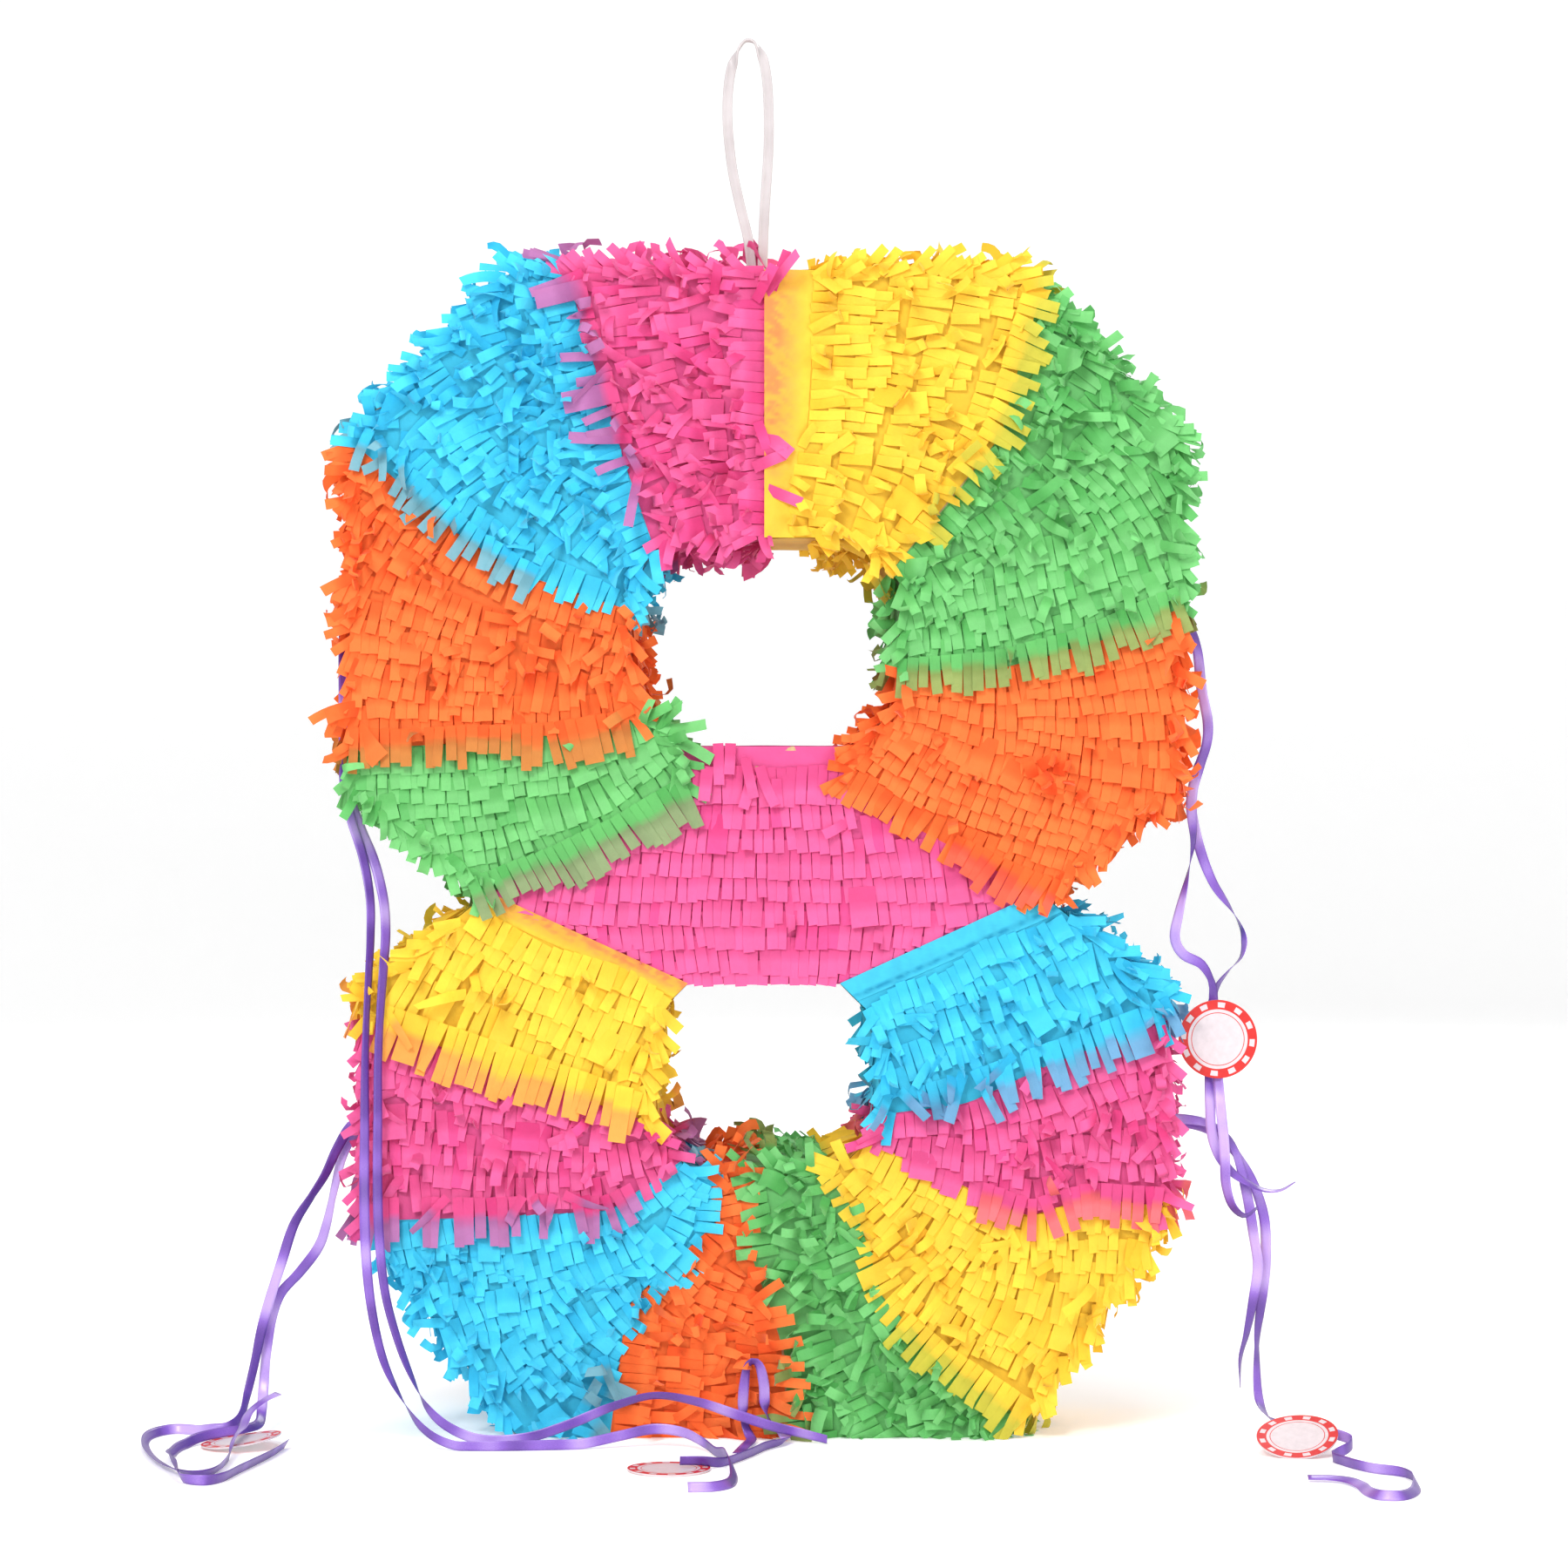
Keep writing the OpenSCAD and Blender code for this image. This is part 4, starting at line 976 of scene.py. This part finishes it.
# Strips that stand out on the front, block by block.
LOOSE = {
    "top_left": [(1, 455, -22, 19, 8, 0, 5.4), (-2, 483, -38, 19, 12, -20, 7.5),
                 (-4, 474, -4, 19, 18, -30, 6), (-5, 465, 24, 17, 26, -40, 5.6),
                 (-3, 487, -70, 15, 34, -60, 5), (-4, 545, 60, 24, 30, 30, 5), (0, 548, 48, 30, 24, 40, 5),
                 (4, 550, 70, 22, 30, -60, 4.4), (-24, 548, 80, 20, 30, 30, 5),
                 (-38, 550, 118, 19, 26, 20, 5.4), (2, 436, -80, 13, 10, 60, 2.2)],
    "flank_left": [(-50, 339, 4, 24, 26, -30, 5.4), (-47, 337, -25, 26, 10, 0, 6),
                   (-52, 341, 38, 24, 30, 40, 5.4), (-50, 338, 62, 20, 34, -50, 5),
                   (-46, 334, 18, 17, 40, 30, 5), (-58, 344, 30, 18, 45, -40, 5)],
    "waist": [(-22, 333, -88, 20, 6, -6, 5.2), (-16, 333, -92, 15, 6, 0, 5.2),
              (-9, 326, -78, 20, 14, -20, 5.0), (-2, 322, -75, 21, 12, -14, 5.2),
              (-6, 318, -100, 17, 10, 0, 5.2), (6, 316, -88, 14, 8, 0, 5.0), (-27, 322, -95, 17, 9, 0, 6)],
    "side_right": [(x, z, way, 12, lift, curl, 5.8) for x, z, way, lift, curl in (
        (132, 322, 30, 50, -80), (137, 325, -20, 60, 60), (141, 318, 80, 45, -90), (134, 314, -60, 55, 70),
        (140, 311, 170, 50, -60), (146, 315, -100, 62, 80), (129, 317, 110, 42, -70),
        (144, 322, 10, 52, 90), (137, 318, -140, 66, -40), (150, 309, -30, 40, 60))]
    + [(126, 268, -100, 18, 8, 0, 5.2), (136, 270, -98, 20, 8, 0, 5.2)],
}


# ---------------------------------------------------------------- the laid tissue under the fringe
def wrinkle(points, seed, size):
    """Soft wrinkles: a sum of a few slanting waves, the same for the same seed."""
    rng = np.random.default_rng(seed)
    total = np.zeros(len(points))
    for _ in range(9):
        direction = unit(rng.normal(size=3))
        wave = rng.uniform(0.006, 0.03)
        total += np.sin(points @ direction * 2 * math.pi / wave + rng.uniform(0, 6.28)) * wave / 0.03
    return total * size / 3


def laid_tint(points, block, seed):
    """Colour of the laid sheet: mixed in part with the paper's deeper shade colour, and more so in blotches.
    """
    blotch = np.clip(0.5 + 0.5 * wrinkle(points, seed + 500, 1.0), 0, 1)[:, None]
    return PAPER[block.colour] * (0.88 - 0.35 * blotch) + DEEP[block.colour] * (0.12 + 0.35 * blotch)


def face_sheet(block, y, facing, seed):
    """The block's laid tissue on the front or the back, as points, faces and colours."""
    rows, columns = max(6, int(block.span / 4)), 36
    pts = lay(block.grid(rows, columns).reshape(-1, 2), y)
    lift = np.clip(wrinkle(pts, seed, 0.18 * MM), -0.25 * MM, 0.25 * MM)
    covered = np.clip((np.repeat(np.linspace(0, 1, rows), columns) * block.span - block.bare) / 3, 0, 1)
    if block.name == "waist":
        # Its bare strip is creased along its length.
        creases = wrinkle(pts * [0.3, 1, 2.2], seed + 3, 0.4 * MM)
        lift = lift + (1 - covered) * np.clip(creases, -0.3 * MM, 0.8 * MM)
    pts[:, 1] += facing * (0.35 * MM + lift)
    # Painted shade: the laid sheet is 12 percent darker where the fringe covers it, and not on the bare band.
    return pts, grid_faces(rows, columns), laid_tint(pts, block, seed) * (1 - 0.12 * covered[:, None])


def band_sheet(block, y, seed):
    """The bare strip at a block's start: a smooth sheet that laps over the fringe of the block before."""
    rows, columns = 22, 90
    start, end = block.row(0.0, columns), block.row((block.bare + 1.5) / block.span, columns)
    start = start - unit(end - start) * 0.8
    share = np.linspace(0, 1, rows)[:, None, None]
    pts = lay((start * (1 - share) + end * share).reshape(-1, 2), y)
    share = np.repeat(share, columns)
    wavy = np.clip(wrinkle(pts, seed, 0.5 * MM), -0.5 * MM, 0.5 * MM) * np.sin(math.pi * share)
    pts[:, 1] -= (3.4 * (1 - share) + 0.8) * MM + wavy
    blotch = 0.5 + 1.2 * wrinkle(pts * 2.6, seed + 7, 1.0) + 0.9 * wrinkle(pts * 7, seed + 8, 1.0)
    blotch = np.clip(blotch, 0, 1)[:, None]
    share = share[:, None]
    if block.colour == "yellow":
        stain, amount = YELLOW_STAIN, np.clip(1.5 - 1.7 * share, 0, 1) * (0.5 + 0.5 * blotch)
        if block.name == "top_right":
            amount = amount * np.clip((pts[:, 2:] / MM - 446) / 30, 0.15, 1)
    else:
        stain, amount = BLUE_STAIN, np.clip(1 - np.abs(share - 0.78) * 6, 0, 1) * (0.35 + 0.65 * blotch)
    tint = PAPER[block.colour] * (1 - amount) + stain * amount
    return pts, grid_faces(rows, columns), tint * (0.9 + 0.06 * blotch)


def edge_sheet(block, end, depth, seed):
    """The block's laid tissue over the outer walls or the hole's rim."""
    if block.name == "waist":
        rail = resample(block.card_edges[end], 30)
    else:
        rail = block.grid(60, 5)[:, end]
    rail = rail[np.append(True, np.linalg.norm(np.diff(rail, axis=0), axis=1) > 0.05)]
    if len(rail) < 3:
        return None
    out = np.array([outward_of(p, a, end) for p, a in zip(rail, unit(np.gradient(rail, axis=0)))])
    columns = 12
    pts = lay(np.repeat(rail + out * 0.35, columns, axis=0), np.tile(np.linspace(*depth, columns), len(rail)))
    lift = np.clip(wrinkle(pts, seed, 0.15 * MM), -0.2 * MM, 0.2 * MM)
    pts += aim(np.repeat(out, columns, axis=0)) * lift[:, None]
    pts[:, 2] = np.maximum(pts[:, 2], 0.1 * MM)
    return pts, grid_faces(len(rail), columns), laid_tint(pts, block, seed)


def join_sheets(name, sheets):
    starts = np.cumsum([0] + [len(pts) for pts, _, _ in sheets])
    return mesh_from(name, np.vstack([pts for pts, _, _ in sheets]),
                     np.vstack([quads + start for (_, quads, _), start in zip(sheets, starts)]),
                     np.vstack([tint for _, _, tint in sheets]))


# ---------------------------------------------------------------- the paper pieces, colour by colour
def in_hatch(line):
    return ((line[:, 0] > HATCH_LOW[0]) & (line[:, 0] < HATCH_HIGH[0])
            & (line[:, 2] > HATCH_LOW[2]) & (line[:, 2] < HATCH_HIGH[2])).astype(float)


def outside_hatch(line):
    return 1 - in_hatch(line)


def hatch_cut(obj, keep_inside):
    """Removes the faces of a back piece that lie inside the hatch, or keeps only those."""
    bm = bmesh.new()
    bm.from_mesh(obj.data)
    inside = in_hatch(np.array([f.calc_center_median() for f in bm.faces])) > 0.5
    gone = [f for f, is_inside in zip(bm.faces, inside) if is_inside != keep_inside]
    bmesh.ops.delete(bm, geom=gone, context="FACES")
    bm.to_mesh(obj.data)
    bm.free()


def squash_with_collapse(obj):
    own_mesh(obj)


def paper_piece(place, colour, body, sheets, bag, replaced, keep_inside=None, squashed=False):
    """The laid sheets and the fringe of one colour at one place. The fringe replaces the CAD's tissue."""
    sheet = link(f"{place}_paper_{colour}", join_sheets(f"{place}_paper_{colour}", sheets), TISSUE_FLAT)
    fringe = link(f"{place}_fringe_{colour}", bag.mesh(f"{place}_fringe_{colour}"), TISSUE)
    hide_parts(replaced)
    for obj in (sheet, fringe):
        if keep_inside is not None:
            hatch_cut(obj, keep_inside)
        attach(obj, body)
        if squashed:
            squash_with_collapse(obj)


def front_paper(colour, own):
    bands = [band_sheet(b, FRONT_Y, 70 + b.index) for b in own if b.bare and b.name != "waist"]
    bag = Strips()
    for b in own:
        face_rows(b, bag, 100 + b.index, FRONT_Y, -1)
        edge_tufts(b, bag, 700 + b.index, FRONT_Y, -1)
        loose(bag, b, 600 + b.index, LOOSE.get(b.name, []))
    sheets = [face_sheet(b, FRONT_Y, -1, 10 + b.index) for b in own]
    paper_piece("front", colour, "front_shell", sheets + bands, bag, f"front_tissue_{colour}")


def back_paper(colour, own):
    bag = Strips()
    for b in own:
        face_rows(b, bag, 200 + b.index, BACK_Y, 1, inside=outside_hatch)
        edge_tufts(b, bag, 800 + b.index, BACK_Y, 1, inside=outside_hatch)
    sheets = [face_sheet(b, BACK_Y, 1, 30 + b.index) for b in own]
    paper_piece("back", colour, "back_shell", sheets, bag, f"back_tissue_{colour}", keep_inside=False)


def side_paper(colour, own):
    """The tissue on the outer walls and the hole rims."""
    ends = [(b, end) for b in own for end in (0, -1)]
    bag = Strips()
    for b, end in ends:
        edge_rows(b, bag, 300 + b.index * 2 + end, end, (FRONT_Y + 2 * MM, BACK_Y - 2 * MM))
    sheets = [edge_sheet(b, end, (FRONT_Y, BACK_Y), 50 + b.index) for b, end in ends]
    paper_piece("side", colour, "front_shell", [s for s in sheets if s], bag, f"side_tissue_{colour}",
                squashed=True)


def hatch_paper(b):
    """The hatch's own part of one of the two blocks that meet on it."""
    bag = Strips()
    face_rows(b, bag, 400 + b.index, BACK_Y, 1, inside=in_hatch)
    paper_piece("hatch", b.colour, "hatch", [face_sheet(b, BACK_Y, 1, 30 + b.index)], bag, "hatch_tissue",
                keep_inside=True)


for colour in PAPER:
    own = [b for b in blocks if b.colour == colour]
    front_paper(colour, own)
    back_paper(colour, own)
    side_paper(colour, own)
for b in blocks[:2]:
    hatch_paper(b)


# ---------------------------------------------------------------- the creased walls and hole rims
def creased_copy(name, nodes):
    """The walls as the CAD has them, cut in two across their depth at y = 0."""
    bm = bmesh.new()
    for n in nodes:
        bm.from_mesh(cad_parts[n].data)
    geom = bm.verts[:] + bm.edges[:] + bm.faces[:]
    bmesh.ops.bisect_plane(bm, geom=geom, plane_co=(0, 0, 0), plane_no=(0, 1, 0))
    obj = link(name, mesh_of(bm, name), CARD)
    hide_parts(*nodes)
    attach(obj, "front_shell")
    squash_with_collapse(obj)


creased_copy("creased_walls", [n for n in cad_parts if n.startswith("wall_")])
creased_copy("creased_rims", ["rim_upper_hole", "rim_lower_hole"])


# ---------------------------------------------------------------- materials of the CAD pieces that stay
def paint(node_name, mat):
    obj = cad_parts[node_name]
    obj.data.materials.clear()
    obj.data.materials.append(mat)


for n in ("front_panel", "back_panel", "hatch_flap"):
    paint(n, CARD)
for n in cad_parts:
    if "_leaf_" in n or n == "strap_anchor_plate":
        paint(n, BRACE_CARD)
paint("strap_lock_head", NYLON)
paint("ribbon_inner_runs", plastic_material("ribbon_inside", (172, 134, 232), (130, 92, 204)))


# ---------------------------------------------------------------- floor, light
def bowl():
    """A round floor whose rim curves up into a wall, so that every side has a pale ground behind it."""
    bm = bmesh.new()
    flat, bend, wall, turns = 3.6, 1.5, 5.0, 64
    profile = [(flat - 0.1, 0.0)]
    profile += [(flat + bend * math.sin(a), bend * (1 - math.cos(a)))
                for a in np.radians(np.arange(0, 91, 7.5))]
    profile.append((flat + bend, wall))
    angles = [2 * math.pi * k / turns for k in range(turns)]
    rings = [[bm.verts.new((r * math.cos(a), r * math.sin(a), z)) for a in angles] for r, z in profile]
    bm.faces.new(rings[0])
    for low, high in zip(rings, rings[1:]):
        for k in range(turns):
            j = (k + 1) % turns
            bm.faces.new((high[k], high[j], low[j], low[k]))
    mesh = mesh_of(bm, "floor")
    mesh.shade_smooth()
    floor = link("floor", mesh, floor_material("floor_white"))


def area(name, place, size, power):
    """A square lamp that looks at the middle of the body."""
    light = bpy.data.objects.new(name, bpy.data.lights.new(name, "AREA"))
    bpy.context.scene.collection.objects.link(light)
    light.location = place
    light.rotation_euler = (Vector((0, 0, 0.3)) - Vector(place)).to_track_quat("-Z", "Y").to_euler()
    light.data.size = size
    light.data.energy = power


def studio():
    bowl()
    world = bpy.data.worlds.new("world")
    bpy.context.scene.world = world
    world.use_nodes = True
    world.node_tree.nodes["Background"].inputs["Color"].default_value = (1, 1, 1, 1)
    world.node_tree.nodes["Background"].inputs["Strength"].default_value = 0.28
    area("key_light", (-0.8, -2.2, 1.9), 0.8, 48)
    area("fill_light", (1.6, -2.2, 0.7), 1.4, 15)
    area("back_light", (0.9, 2.4, 1.9), 1.0, 20)
    area("top_light", (0.2, -0.45, 2.6), 0.9, 18)
    bpy.context.scene.view_settings.view_transform = "Standard"


studio()
